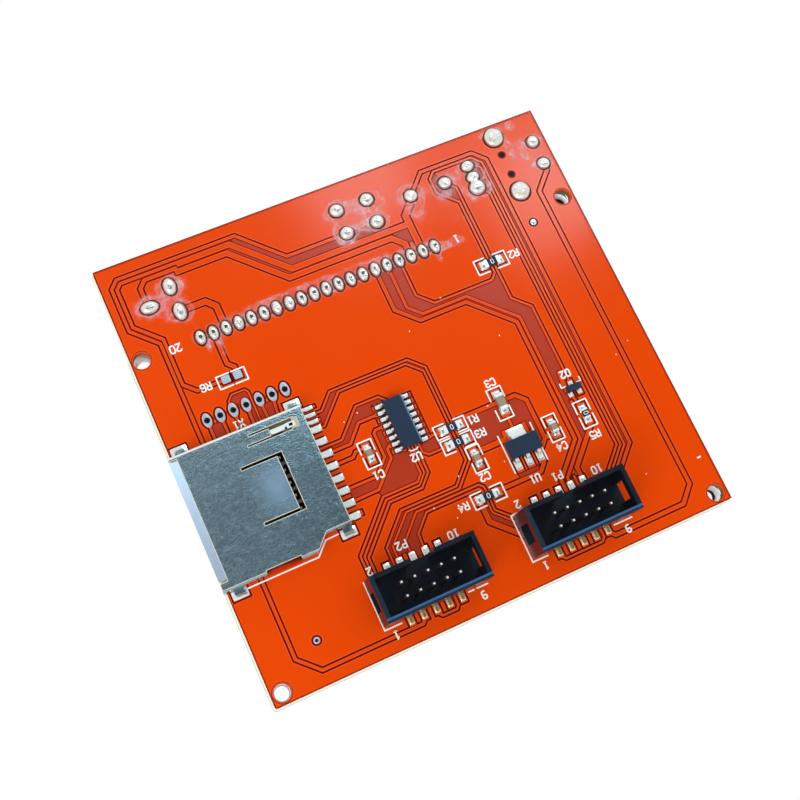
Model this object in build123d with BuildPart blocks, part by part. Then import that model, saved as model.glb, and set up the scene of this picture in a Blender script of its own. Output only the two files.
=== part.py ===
from build123d import *

import os
from math import hypot

# Graphic display module with its controller board, lying display down
# The controller board's rear face is the plane Z = 0 and faces up. X runs along the board's
# long side and the origin is the centre of the four corner holes. All sizes are millimetres.

# Controller board
board_width = 93.0
board_bottom = -35.0
board_top = 52.0
board_thickness = 1.6
board_corner = 0.8
score_width = 0.35
hole_chamfer = 0.2
foil_thickness = 0.05
tin_thickness = 0.04
foil_margin = 0.55
track_gap = 0.3

# Corner holes shared by both boards
hole_span_x = 88.0
hole_span_y = 65.0
corner_hole = 3.2
display_hole = 3.0
display_ring = 5.0

# Display module
display_width = 93.0
display_height = 70.0
display_thickness = 1.6
board_gap = 2.54
bezel_width = 78.0
bezel_height = 51.0
bezel_depth = 8.6
bezel_sheet = 0.5
bezel_corner = 0.8
window_width = 72.0
window_height = 40.0
window_lip = 0.9
front_glass_height = 43.0
bezel_round = 0.45
zebra_margin = 7.0
zebra_inset = 1.7
glass_thickness = 1.1
zebra_width = 1.8
tab_width = 2.2
tab_stand = 1.1
tab_twist = 32.0
blob_height = 1.3
blob_radius = 7.0
blob_crown = 1.2
blob_points = ((-25.0, -6.0), (4.0, -6.0), (4.0, 13.0))
inner_clearance = 0.1

# Pin header between the boards
pin_pitch = 2.54
pin_size = 0.64
pin_clearance = 0.05
header_count = 20
header_y = 32.5
header_first_x = -32.49
pin_stand = 1.05
drill_size = round(hypot(pin_size, pin_size) + 2 * pin_clearance, 2)

# Through-hole joints
joint_height = 0.85
header_joint = (1.9, 2.9)
display_joint = (1.7, 1.7)
trimmer_joint = (3.5, 2.5)
button_joint = (2.85, 2.6)
buzzer_joint = (2.65, 2.65)
encoder_joint = (2.7, 2.2)
switch_joint = (2.55, 2.55)
lug_joint = (3.95, 3.95)

# Rotary encoder
encoder_x = 36.6
encoder_y = 42.9
encoder_width = 11.8
encoder_length = 11.6
encoder_height = 6.5
bracket_sheet = 0.5
lug_width = 2.1
lug_clearance = 0.27
lug_drill = round(hypot(lug_width, bracket_sheet) + 2 * lug_clearance, 2)
lug_offset = 0.4
encoder_pin_reach = 7.54
encoder_pin_pitch = 2.5
switch_pin_reach = 7.05
terminal_sheet = 0.3
terminal_width = 0.9
guide_span = 4.5
bushing_wall = 0.45
bushing_length = 7.0
bushing_plate = 0.8
shaft_radius = 3.0
shaft_clearance = 0.05
shaft_length = 15.0
shaft_flat = 1.5
shaft_flat_length = 10.0
shaft_tail_radius = 1.6
tail_clearance = 0.05
tail_narrow = 0.8
rotor_radius = 4.3
rotor_thickness = 1.2
push_travel = 0.5

# Buzzer
buzzer_x = 19.58
buzzer_y = 43.9
buzzer_radius = 6.0
buzzer_height = 9.5
buzzer_wall = 0.8
buzzer_hole = 2.2
buzzer_pin_span = 7.4
buzzer_pin = 0.6

# Reset button
button_x = 4.35
button_y = 43.85
button_size = 6.0
button_height = 3.5
button_cover = 0.3
button_span_x = 6.4
button_span_y = 5.0
button_leg_width = 0.7
button_leg_sheet = 0.3
plunger_radius = 1.75
plunger_clearance = 0.05
plunger_proud = 1.5

# Contrast trimmer
trimmer_x = -36.3
trimmer_y = 41.35
trimmer_radius = 3.25
trimmer_rim = 1.6
trimmer_pin = 0.6
rotor_dial_radius = 2.3
dial_clearance = 0.05
dial_height = 1.5
trimmer_pins = (
    (trimmer_x - 2.6, trimmer_y + 0.15),
    (trimmer_x + 2.3, trimmer_y + 2.65),
    (trimmer_x + 2.3, trimmer_y - 2.65),
)

# Card socket
socket_left = -46.7
socket_right = -21.2
socket_half = 13.0
socket_height = 2.8
shell_sheet = 0.25
step_x = -26.3
step_y = -10.55
step_run = 2.4
card_width = 24.3
socket_floor = 0.45
socket_rear_wall = 2.2
mouth_lip = 1.5
mouth_rise = 0.45
mouth_relief = 0.3
mouth_low_y = -11.3
mouth_high_y = 12.2
side_notch = (6.6, 0.65)
flap_length = 7.6
flap_width = 10.75
flap_y = 0.625
flap_slot = 0.5
lock_length = 5.4
lock_width = 1.5
lock_slot = 0.3
contact_pitch = 2.5
contact_width = 1.1
contact_sheet = 0.25
contact_tail = 1.6
contact_first_y = 8.1
small_contact_ys = (12.3, 10.95, 9.6)
small_contact_width = 0.6

# Shrouded headers
shroud_length = 20.2
shroud_width = 8.7
shroud_height = 9.0
shroud_wall = 0.85
shroud_floor = 0.9
shroud_lift = 0.45
shroud_key = 4.5
end_window_width = 3.6
end_window_high = 7.0
shroud_y = -25.4
shroud_xs = {"expansion_one": 16.7, "expansion_two": -13.3}
lead_reach = 5.6
lead_thickness = 0.4
box_pins = 5
box_pad = (1.3, 3.1)
box_pad_reach = 4.55

# Levels, measured from the rear face of the controller board
seat = foil_thickness + tin_thickness
board_front = -board_thickness
display_rear = board_front - board_gap
display_front = display_rear - display_thickness
bezel_face = display_front - bezel_depth
board_height = board_top - board_bottom
board_middle = (board_top + board_bottom) / 2
header_xs = [header_first_x + pin_pitch * step for step in range(header_count)]
header_points = [(x, header_y) for x in header_xs]
corner_points = [(x * hole_span_x / 2, y * hole_span_y / 2) for x in (-1, 1) for y in (-1, 1)]

# Joint places of the hand-soldered parts on the front face
lug_reach = encoder_length / 2 + lug_offset
encoder_pin_points = [
    (encoder_x - encoder_pin_reach, encoder_y + step * encoder_pin_pitch) for step in (1, 0, -1)
]
switch_pin_points = [
    (encoder_x + switch_pin_reach, encoder_y + step * encoder_pin_pitch) for step in (1, -1)
]
lug_points = [(encoder_x, encoder_y + lug_reach), (encoder_x, encoder_y - lug_reach)]
guide_points = [(encoder_x, encoder_y + guide_span / 2), (encoder_x, encoder_y - guide_span / 2)]
buzzer_points = [(buzzer_x - buzzer_pin_span / 2, buzzer_y), (buzzer_x + buzzer_pin_span / 2, buzzer_y)]
button_points = [
    (button_x + sx * button_span_x / 2, button_y + sy * button_span_y / 2)
    for sx in (-1, 1)
    for sy in (-1, 1)
]
bare_hole_points = [(-37.4 + 2.55 * step, 17.4) for step in range(7)]
bare_pad = (1.75, 2.9)
via_point = (-35.0, -26.8)
via_pad = 1.3
via_drill = 0.5
test_point = (36.1, 29.75)
empty_pads = [(-31.3, 23.3), (-28.95, 23.3)]

# Surface-mounted parts
# Chip parts: name, middle, turn, body size code and kind.
chip_sizes = {"large": (3.2, 1.6), "small": (2.0, 1.25)}
chip_pads = {"large": (1.65, 1.75, 4.2), "small": (1.45, 1.6, 3.0)}
chips = {
    "resistor_one": ((27.95, -9.0), 90, "small", 0.55),
    "resistor_two": ((4.0, -15.85), 0, "large", 0.6),
    "resistor_three": ((3.25, -4.45), 0, "large", 0.6),
    "resistor_four": ((24.7, 25.3), 0, "large", 0.6),
    "resistor_five": ((3.3, -1.45), 0, "large", 0.6),
    "capacitor_one": ((21.1, -9.0), 90, "small", 0.95),
    "capacitor_two": ((13.95, -0.7), 90, "large", 1.1),
    "capacitor_three": ((5.15, -8.6), 90, "small", 0.95),
    "capacitor_four": ((-12.8, 0.1), 90, "small", 0.95),
}
driver_middle = (-4.87, 3.05)
driver_body = (3.9, 9.9, 1.5)
driver_pitch = 1.27
driver_count = 8
driver_span = 6.2
driver_pad = (1.75, 0.75)
regulator_middle = (14.1, -9.9)
regulator_body = (6.5, 3.5, 1.6)
regulator_span = 7.0
regulator_tab = 3.0
regulator_pitch = 2.3
transistor_middle = (28.05, -3.6)
transistor_body = (2.9, 1.3, 1.0)
transistor_span = 2.5
transistor_pitch = 1.9
lead_sheet = 0.2

# Copper tracks of the rear face: width, then the middle line from pad to pad
tracks = [
    (0.6, [(1.1, 41.35), (-11.35, 41.35), (-18.95, 48.95), (-42.55, 48.95), (-44.03, 47.45),
           (-44.03, 38.6), (-39.7, 34.25), (-39.7, -28.3), (-36.1, -31.87), (-16.6, -31.87),
           (-15.95, -31.2)]),
    (0.62, [(-31.3, 23.3), (-36.85, 23.3), (-38.9, 25.35), (-38.9, 34.85), (-43.15, 39.1),
            (-43.15, 47.0), (-42.15, 48.0), (-31.0, 48.0)]),
    (1.15, [(-31.2, 47.72), (-20.55, 47.72), (-11.45, 38.68), (13.2, 38.68)]),
    (0.75, [(-39.1, 41.5), (-39.1, 45.65), (-37.8, 46.98), (-31.3, 46.98)]),
    (1.1, [(-32.0, 46.25), (-21.65, 46.25), (-12.6, 37.2), (8.7, 37.2), (10.69, 35.2), (10.69, 33.0)]),
    (1.15, [(-34.0, 38.78), (-29.0, 38.78), (-27.45, 37.2), (-27.45, 33.0)]),
    (0.8, [(-29.95, 32.5), (-29.95, 26.0), (-28.9, 24.95), (-28.9, 23.5)]),
    (1.25, [(15.88, 43.9), (15.88, 43.2), (13.2, 40.5), (13.2, 33.0)]),
    (0.62, [(15.9, 43.8), (19.85, 47.78), (31.05, 47.78), (33.3, 45.5), (33.3, -17.3), (27.6, -23.0)]),
    (0.42, [(8.17, 33.0), (8.17, 24.75), (10.95, 22.0), (23.2, 22.0), (24.35, 23.15), (24.35, 39.15),
            (20.95, 42.5), (20.95, 45.7), (22.2, 46.95), (30.45, 46.95), (32.17, 45.2),
            (32.17, -17.25), (26.9, -22.5)]),
    (0.42, [(23.28, 43.9), (25.05, 42.1), (25.05, 17.2), (28.05, 14.25), (28.05, -2.0)]),
    (0.42, [(29.06, 40.4), (30.8, 38.7), (30.8, -16.7), (26.0, -21.5)]),
    (0.42, [(29.06, 45.4), (30.35, 45.4), (31.5, 44.2), (31.5, -16.95), (26.5, -21.95)]),
    (0.75, [(43.65, 40.4), (43.65, 38.8), (40.2, 35.3), (40.2, -28.95), (37.3, -31.87),
            (22.75, -31.87), (21.8, -30.9)]),
    (0.68, [(3.15, 33.0), (3.15, 23.6), (6.9, 19.87), (16.55, 19.87), (23.95, 12.45), (23.95, -12.6),
            (17.95, -18.6), (17.95, -23.0)]),
    (0.55, [(5.55, 33.0), (5.55, 23.2), (7.85, 20.9), (17.1, 20.9), (24.9, 13.1), (24.9, -13.0),
            (19.24, -18.7), (19.24, -20.0)]),
    (0.8, [(27.95, -10.4), (27.95, -11.4), (26.95, -12.4), (21.78, -17.6), (21.78, -20.0)]),
    (0.4, [(-5.58, 1.0), (-5.58, -7.05), (-6.78, -8.25), (-13.75, -8.25), (-21.95, -16.45),
           (-21.95, -23.0)]),
    (0.38, [(-4.92, 1.0), (-4.92, -7.15), (-6.74, -8.95), (-13.45, -8.95), (-21.33, -16.85),
            (-21.33, -23.0)]),
    (0.4, [(-4.25, 1.0), (-4.25, -7.35), (-6.5, -9.6), (-13.05, -9.6), (-20.72, -17.27),
           (-20.72, -23.0)]),
    (0.4, [(1.2, -4.4), (-2.7, -4.4), (-3.6, -3.5), (-3.6, 1.0)]),
    (0.38, [(-17.0, -23.0), (-17.0, -17.0), (-11.8, -11.83), (-0.55, -11.83), (3.2, -8.05),
            (3.2, 10.55), (0.63, 13.12), (-13.2, 13.12), (-18.2, 8.1), (-19.8, 8.1)]),
    (0.38, [(-15.94, -20.0), (-15.94, -17.3), (-11.05, -12.47), (-0.25, -12.47), (3.83, -8.4),
            (3.83, 11.1), (1.2, 13.73), (-14.75, 13.73), (-17.45, 10.95), (-19.8, 10.95)]),
    (0.38, [(-13.4, -20.0), (-13.4, -17.2), (-9.4, -13.2), (3.35, -13.2), (4.1, -13.95),
            (4.1, -18.65), (8.0, -22.5)]),
    (0.38, [(-10.86, -20.0), (-10.66, -16.95), (-7.65, -13.93), (3.05, -13.93), (3.5, -14.4),
            (3.5, -18.9), (8.0, -23.4)]),
    (0.4, [(-22.0, 4.4), (-16.3, 4.4), (-11.45, 9.28), (-6.85, 9.28), (-5.0, 7.45)]),
    (0.5, [(-19.8, 3.1), (-15.2, 3.1), (-12.2, 6.22), (-8.2, 6.22)]),
    (0.55, [(-19.8, 0.6), (-15.75, 0.6), (-14.95, 1.4), (-12.8, 1.4)]),
    (0.5, [(-19.8, -4.4), (-13.2, -4.4), (-10.4, -1.6), (-10.4, 3.2), (-9.9, 3.7), (-8.2, 3.7)]),
    (0.5, [(-19.8, -6.85), (-13.9, -6.72), (-9.35, -2.25), (-9.35, -0.5), (-8.9, -0.1), (-8.2, -0.1)]),
    (0.5, [(-1.6, -1.38), (1.2, -1.38)]),
    (0.75, [(5.4, -1.4), (5.4, -0.5), (17.1, -0.5), (18.75, -2.15), (18.75, -10.2), (16.4, -12.6)]),
    (0.9, [(18.75, -10.0), (21.1, -10.4)]),
    (1.0, [(5.15, -7.5), (11.8, -7.5)]),
    (0.55, [(13.95, -2.6), (13.95, -7.0)]),
    (0.72, [(6.1, -15.65), (15.2, -15.65), (16.4, -14.4), (16.4, -13.0)]),
    (0.95, [(1.9, -15.85), (2.25, -17.2), (2.25, -20.25), (8.0, -26.0)]),
    (0.42, [(11.62, -30.5), (11.62, -31.3), (12.3, -31.95), (19.9, -31.95), (20.55, -31.3),
            (20.55, -18.7)]),
    (0.42, [(-13.4, -30.5), (-13.4, -31.35), (-12.75, -32.0), (-9.95, -32.0), (-9.45, -31.4),
            (-9.45, -22.0)]),
    (0.5, [(-19.8, 12.3), (-18.3, 12.3)]),
    (0.5, [(-19.8, 9.6), (-18.35, 9.6)]),
    (0.9, [(-19.8, -9.3), (-18.3, -9.3)]),
    (0.3, [(-32.3, 17.4), (-32.45, 19.2), (-31.45, 20.2), (-28.95, 20.2), (-28.47, 19.55),
           (-28.47, 13.0)]),
    (0.5, [(-37.4, 17.4), (-37.4, 13.0)]),
    (0.5, [(-34.85, 17.4), (-34.75, 13.0)]),
    (0.5, [(-32.3, 17.4), (-32.3, 13.0)]),
    (0.5, [(-29.75, 17.4), (-29.85, 13.0)]),
    (0.5, [(-27.2, 17.4), (-27.0, 13.0)]),
    (0.5, [(-24.65, 17.4), (-25.2, 13.0)]),
    (0.5, [(27.1, -4.75), (27.95, -7.6)]),
]

# Bare patches, where the copper between tracks was etched away
patches = [
    [(-20.55, 47.72), (-18.95, 48.95), (-11.35, 41.35), (6.0, 41.35), (6.0, 38.68), (-11.45, 38.68)],
    [(-20.55, 47.72), (-21.65, 46.25), (-12.6, 37.2), (-11.45, 38.68)],
    [(8.7, 37.2), (13.2, 38.68), (13.2, 35.0), (10.69, 35.2)],
    [(20.95, 42.5), (24.35, 39.15), (25.05, 39.6), (25.05, 42.1), (23.3, 44.0), (22.4, 46.5),
     (20.95, 45.7)],
    [(3.15, 31.5), (5.55, 31.5), (5.55, 23.2), (7.85, 20.9), (6.9, 19.87), (3.15, 23.6)],
    [(5.55, 31.5), (8.17, 31.5), (8.17, 24.75), (10.95, 22.0), (23.2, 22.0), (17.1, 20.9),
     (7.85, 20.9), (5.55, 23.2)],
    [(17.1, 20.9), (23.2, 22.0), (24.35, 23.15), (25.05, 23.15), (25.05, 17.2), (28.05, 14.25),
     (28.05, 0.6), (26.6, 0.4), (26.3, -2.0), (26.3, -12.0), (26.95, -12.4), (25.9, -13.3),
     (24.9, -13.0), (24.9, 13.1)],
    [(30.45, 46.95), (31.05, 47.78), (33.3, 45.5), (33.3, -17.3), (32.17, -17.25), (32.17, 45.2)],
    [(30.0, 44.4), (31.5, 44.2), (31.5, 38.7), (30.8, 38.7), (29.9, 39.6)],
    [(-18.6, 4.4), (-16.3, 4.4), (-11.45, 9.28), (-6.85, 9.28), (-5.8, 8.25), (-8.6, 8.25),
     (-8.6, 6.22), (-12.2, 6.22), (-15.2, 3.1), (-18.6, 3.1)],
    [(-14.75, 13.73), (-13.2, 13.12), (-18.2, 8.1), (-18.7, 9.4), (-18.4, 10.6), (-17.45, 10.95)],
    [(-10.4, 3.2), (-9.9, 3.7), (-8.8, 3.2), (-8.8, 0.2), (-9.35, -0.5), (-9.35, -2.25),
     (-10.4, -1.6)],
    [(-19.0, -4.4), (-13.2, -4.4), (-10.4, -1.6), (-9.35, -2.25), (-13.9, -6.72), (-19.0, -6.85)],
    [(-13.9, -6.72), (-9.35, -2.25), (-9.0, -1.9), (-6.4, -2.1), (-5.58, -2.1), (-5.58, -7.05),
     (-6.78, -8.25), (-13.75, -8.25), (-14.3, -7.4)],
    [(-3.6, -2.1), (-0.2, -1.9), (-0.2, -4.4), (-2.7, -4.4), (-3.6, -3.5)],
    [(6.4, -0.5), (17.1, -0.5), (18.75, -2.15), (18.75, -10.2), (17.6, -11.2), (17.4, -7.5),
     (6.6, -7.5)],
    [(2.7, -17.2), (3.5, -17.2), (3.5, -18.9), (8.0, -23.4), (8.0, -26.0), (2.25, -20.25)],
    [(-17.0, -20.8), (-17.0, -17.0), (-11.8, -11.83), (-11.05, -12.47), (-15.94, -17.3),
     (-15.94, -20.8)],
    [(-15.94, -19.2), (-15.94, -17.3), (-11.05, -12.47), (-9.4, -13.2), (-13.4, -17.2),
     (-13.4, -19.2)],
    [(-13.4, -20.8), (-13.4, -17.2), (-9.4, -13.2), (-7.65, -13.93), (-10.66, -16.95),
     (-10.86, -20.8)],
    [(-37.4, 16.4), (-34.85, 16.4), (-34.75, 13.0), (-37.4, 13.0)],
    [(-29.8, 16.4), (-27.2, 16.4), (-27.0, 13.0), (-29.85, 13.0)],
    [(-27.2, 16.4), (-24.65, 16.4), (-25.2, 13.0), (-27.0, 13.0)],
    [(-32.4, 18.4), (-32.45, 19.2), (-31.45, 20.2), (-28.95, 20.2), (-28.47, 19.55), (-28.47, 16.5),
     (-29.8, 17.4)],
    [(10.9, -14.2), (15.3, -14.2), (15.2, -15.65), (10.9, -15.65)],
]


def write(piece, name):
    """Label one finished piece and write it as its own file."""
    piece.label = name
    export_step(piece, f"parts/{name}.step")


def ribbon(points, width, past=0.0):
    """Outline of a track: its middle line moved half a width to each side, with mitred turns.

    Both ends run past the last points by the given length.
    """
    half = width / 2
    ends = []
    for (x, y), (near_x, near_y) in ((points[0], points[1]), (points[-1], points[-2])):
        share = past / hypot(x - near_x, y - near_y)
        ends.append((x + (x - near_x) * share, y + (y - near_y) * share))
    points = [ends[0]] + points[1:-1] + [ends[1]]
    left = []
    right = []
    for index, (x, y) in enumerate(points):
        normals = []
        for start, end in ((index - 1, index), (index, index + 1)):
            if start >= 0 and end < len(points):
                dx = points[end][0] - points[start][0]
                dy = points[end][1] - points[start][1]
                length = hypot(dx, dy)
                normals.append((-dy / length, dx / length))
        nx = sum(normal[0] for normal in normals)
        ny = sum(normal[1] for normal in normals)
        reach = half * len(normals) / (nx * nx + ny * ny)
        left.append((x + nx * reach, y + ny * reach))
        right.append((x - nx * reach, y - ny * reach))
    return left + right[::-1]


def chip_pad_places(name):
    """Middles and sizes of the two pads of a chip part, already turned."""
    (x, y), turn, size, height = chips[name]
    pad_x, pad_y, span = chip_pads[size]
    if turn:
        return [((x, y - span / 2), (pad_y, pad_x)), ((x, y + span / 2), (pad_y, pad_x))]
    return [((x - span / 2, y), (pad_x, pad_y)), ((x + span / 2, y), (pad_x, pad_y))]


# Pads of all surface-mounted parts, as the middles for each size of pad
contact_ys = [contact_first_y - contact_pitch * step for step in range(8)]
contact_x = socket_right + contact_tail / 2
pads = {}


def add_pads(size, middles):
    """Put pads of one size on the list."""
    pads.setdefault(size, []).extend(middles)


for chip in chips:
    for middle, size in chip_pad_places(chip):
        add_pads(size, [middle])
driver_ys = [
    driver_middle[1] + driver_pitch * (row - (driver_count - 1) / 2) for row in range(driver_count)
]
add_pads(driver_pad, [(driver_middle[0] + side * 3.05, y) for y in driver_ys for side in (-1, 1)])
add_pads((5.0, 2.4), [(regulator_middle[0], regulator_middle[1] + 2.85)])
add_pads((1.4, 2.5), [(regulator_middle[0] + step * regulator_pitch, regulator_middle[1] - 3.1)
                      for step in (-1, 0, 1)])
add_pads((1.1, 1.1), [(transistor_middle[0], transistor_middle[1] + 1.2)])
add_pads((1.1, 1.1), [(transistor_middle[0] + side * transistor_pitch / 2, transistor_middle[1] - 1.15)
                      for side in (-1, 1)])
for shroud_x in shroud_xs.values():
    box_xs = [shroud_x + pin_pitch * (step - (box_pins - 1) / 2) for step in range(box_pins)]
    add_pads(box_pad, [(x, shroud_y + side * box_pad_reach) for x in box_xs for side in (-1, 1)])
add_pads((1.9, 1.3), [(contact_x + 0.2, y) for y in contact_ys])
add_pads((1.9, 0.75), [(contact_x + 0.2, y) for y in small_contact_ys])
add_pads((1.6, 1.5), empty_pads)
socket_tabs = [
    (socket_left + 2.55, socket_half + 1.0), (socket_right - 0.9, socket_half + 1.0),
    (socket_left + 2.7, -socket_half - 0.9), (socket_right - 0.9, step_y - 1.15),
]
add_pads((3.1, 1.9), socket_tabs)

# Round or oval lands round the through holes: middles, land size and drill
lands = [
    (header_points, header_joint, drill_size),
    ([trimmer_pins[0]], trimmer_joint, drill_size),
    (list(trimmer_pins[1:]), trimmer_joint[::-1], drill_size),
    (button_points, button_joint, 1.1),
    (buzzer_points, buzzer_joint, drill_size),
    (encoder_pin_points, encoder_joint, 1.1),
    (switch_pin_points, switch_joint, 1.1),
    (lug_points, lug_joint, lug_drill),
    (bare_hole_points, bare_pad, drill_size),
    ([via_point], (via_pad, via_pad), via_drill),
]

os.makedirs("parts", exist_ok=True)

# Controller board: one laminate plate, scored and snapped along its left and bottom edges
with BuildPart() as controller_board:
    with BuildSketch(Plane.XY.offset(board_front)):
        with Locations((0, board_middle)):
            RectangleRounded(board_width, board_height, board_corner)
        with Locations(*corner_points):
            Circle(corner_hole / 2, mode=Mode.SUBTRACT)
        for points, land, drill in lands:
            with Locations(*points):
                Circle(drill / 2, mode=Mode.SUBTRACT)
        with Locations(*guide_points):
            Circle(0.45, mode=Mode.SUBTRACT)
    extrude(amount=board_thickness)
    chamfer(controller_board.edges().filter_by(Axis.Y).sort_by(Axis.X)[:2], score_width)
    chamfer(controller_board.edges().filter_by(Axis.X).sort_by(Axis.Y)[:2], score_width)
    rims = controller_board.edges().filter_by(GeomType.CIRCLE).group_by(Axis.Z)[-1]
    chamfer(rims.filter_by(lambda rim: abs(rim.radius - corner_hole / 2) < 0.01), hole_chamfer)
write(controller_board.part, "controller_board")

# Rear copper: the pour, the tracks and the lands, laid on the board as one etched foil
with BuildSketch() as cleared:
    routes = [Polygon(*ribbon(route, width + 2 * track_gap, track_gap), align=None, mode=Mode.PRIVATE)
              for width, route in tracks]
    bare = [Polygon(*patch, align=None, mode=Mode.PRIVATE) for patch in patches]
    add(routes + bare)
    for size, middles in pads.items():
        with Locations(*middles):
            Rectangle(size[0] + 2 * track_gap, size[1] + 2 * track_gap)
    for points, land, drill in lands:
        with Locations(*points):
            Ellipse(land[0] / 2 + track_gap, land[1] / 2 + track_gap)
    with Locations(*corner_points):
        Circle(corner_hole / 2 + track_gap)
    with Locations(*guide_points):
        Circle(0.85)
    with Locations(test_point):
        Circle(via_pad / 2 + track_gap)
with BuildSketch() as etched:
    with Locations((score_width / 2, board_middle + score_width / 2)):
        Rectangle(board_width - foil_margin - score_width, board_height - foil_margin - score_width)
    add(cleared.sketch, mode=Mode.SUBTRACT)
    add([Polygon(*ribbon(route, width), align=None, mode=Mode.PRIVATE) for width, route in tracks])
    for size, middles in pads.items():
        with Locations(*middles):
            Rectangle(size[0], size[1])
    for points, land, drill in lands:
        with Locations(*points):
            Ellipse(land[0] / 2, land[1] / 2)
    with Locations(test_point):
        Circle(via_pad / 2)
    for points, land, drill in lands:
        with Locations(*points):
            Circle(drill / 2, mode=Mode.SUBTRACT)
with BuildPart() as rear_copper:
    add(etched.sketch)
    extrude(amount=foil_thickness)
write(rear_copper.part, "rear_copper")
print("rear copper", len(rear_copper.part.solids()), "solids")


def solder(points, size, hole, bottom=foil_thickness, height=joint_height):
    """Tapered joints over the lands, bored for the square pins that stand in them."""
    with BuildPart() as joints:
        with BuildSketch(Plane.XY.offset(bottom)):
            with Locations(*points):
                if size[0] == size[1]:
                    Circle(size[0] / 2)
                elif size[0] > size[1]:
                    SlotOverall(size[0], size[1])
                else:
                    SlotOverall(size[1], size[0], rotation=90)
        extrude(amount=height, taper=22)
        with BuildSketch(Plane.XY.offset(bottom)):
            with Locations(*points):
                Rectangle(hole[0], hole[1])
        extrude(amount=height, mode=Mode.SUBTRACT)
    return joints.part


# Joints of the hand-soldered parts
write(solder(header_points, header_joint, (pin_size, pin_size)), "header_joints")
write(solder(header_points, display_joint, (pin_size, pin_size), display_front, -0.7), "display_joints")
pin_solder = solder(encoder_pin_points, encoder_joint, (terminal_sheet, terminal_width))
switch_solder = solder(switch_pin_points, switch_joint, (terminal_sheet, terminal_width))
lug_solder = solder(lug_points, lug_joint, (lug_width, bracket_sheet))
with BuildPart() as encoder_joints:
    add([pin_solder, switch_solder, lug_solder])
write(encoder_joints.part, "encoder_joints")
write(solder(buzzer_points, buzzer_joint, (buzzer_pin, buzzer_pin)), "buzzer_joints")
write(solder(button_points, button_joint, (button_leg_sheet, button_leg_width)), "button_joints")
wiper_solder = solder(trimmer_pins[:1], trimmer_joint, (trimmer_pin, trimmer_pin))
end_solder = solder(trimmer_pins[1:], trimmer_joint[::-1], (trimmer_pin, trimmer_pin))
with BuildPart() as trimmer_joints:
    add([wiper_solder, end_solder])
write(trimmer_joints.part, "trimmer_joints")

# Pin header that joins the two boards
header_middle = (header_xs[0] + header_xs[-1]) / 2
with BuildPart() as header_insulator:
    with BuildSketch(Plane.XY.offset(display_rear)):
        with Locations((header_middle, header_y)):
            Rectangle(header_count * pin_pitch, pin_pitch - 0.04)
        with Locations(*header_points):
            Rectangle(pin_size, pin_size, mode=Mode.SUBTRACT)
    extrude(amount=board_gap)
    cuts = header_insulator.edges().filter_by(Axis.Z).group_by(Axis.X)
    chamfer(cuts[0] + cuts[-1], 0.5)
write(header_insulator.part, "header_insulator")
with BuildPart() as header_pins:
    with BuildSketch(Plane.XY.offset(display_front - 1.4)):
        with Locations(*header_points):
            Rectangle(pin_size, pin_size)
    extrude(amount=pin_stand - display_front + 1.4)
write(header_pins.part, "header_pins")

# Display module: board, rings, bezel and the optical stack inside it
tab_points = [(x, side * (bezel_height - bezel_sheet) / 2) for x in (-28.0, 0.0, 28.0) for side in (-1, 1)]
with BuildPart() as display_board:
    with BuildSketch(Plane.XY.offset(display_front)):
        RectangleRounded(display_width, display_height, board_corner)
        with Locations(*corner_points):
            Circle(display_hole / 2, mode=Mode.SUBTRACT)
        with Locations(*header_points):
            Circle(drill_size / 2, mode=Mode.SUBTRACT)
        with Locations(*tab_points):
            Rectangle(tab_width + 0.2, bezel_sheet + 0.1, mode=Mode.SUBTRACT)
    extrude(amount=display_thickness)
write(display_board.part, "display_board")
with BuildPart() as display_rings:
    with BuildSketch(Plane.XY.offset(display_rear)):
        with Locations(*corner_points):
            Circle(display_ring / 2)
            Circle(display_hole / 2, mode=Mode.SUBTRACT)
    extrude(amount=foil_thickness)
write(display_rings.part, "display_rings")
with BuildPart() as display_bezel:
    with BuildSketch(Plane.XY.offset(bezel_face)):
        RectangleRounded(bezel_width, bezel_height, bezel_corner)
    extrude(amount=bezel_depth)
    fillet(display_bezel.edges().group_by(Axis.Z)[0], bezel_round)
    with BuildSketch(Plane.XY.offset(bezel_face + bezel_sheet)):
        RectangleRounded(bezel_width - 2 * bezel_sheet, bezel_height - 2 * bezel_sheet,
                         bezel_corner - bezel_sheet)
    extrude(amount=bezel_depth, mode=Mode.SUBTRACT)
    with BuildSketch(Plane.XY.offset(bezel_face)):
        Rectangle(window_width, window_height)
    extrude(amount=bezel_sheet, mode=Mode.SUBTRACT)
    with BuildSketch(Plane.XY.offset(display_front)):
        with Locations(*tab_points):
            Rectangle(tab_width, bezel_sheet)
    extrude(amount=display_thickness + 0.15)
    with BuildSketch(Plane.XY.offset(display_rear)):
        for x, y in tab_points:
            with Locations((x, y)):
                Rectangle(tab_width, bezel_sheet, rotation=tab_twist)
    extrude(amount=tab_stand)
write(display_bezel.part, "display_bezel")
stack_face = bezel_face + bezel_sheet
polarizer_thickness = 0.2
front_glass_z = stack_face + polarizer_thickness
rear_glass_z = front_glass_z + glass_thickness
guide_z = rear_glass_z + glass_thickness
glass_size = (bezel_width - 2 * bezel_sheet - 2 * inner_clearance,
              bezel_height - 2 * bezel_sheet - 2 * inner_clearance)
zebra_length = glass_size[0] - zebra_margin
zebra_y = glass_size[1] / 2 - zebra_inset - zebra_width / 2
with BuildPart() as polarizer:
    with BuildSketch(Plane.XY.offset(stack_face)):
        Rectangle(window_width + 2 * window_lip, window_height + 2 * window_lip)
    extrude(amount=polarizer_thickness)
write(polarizer.part, "polarizer")
with BuildPart() as front_glass:
    with BuildSketch(Plane.XY.offset(front_glass_z)):
        Rectangle(glass_size[0], front_glass_height)
    extrude(amount=glass_thickness)
write(front_glass.part, "front_glass")
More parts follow.
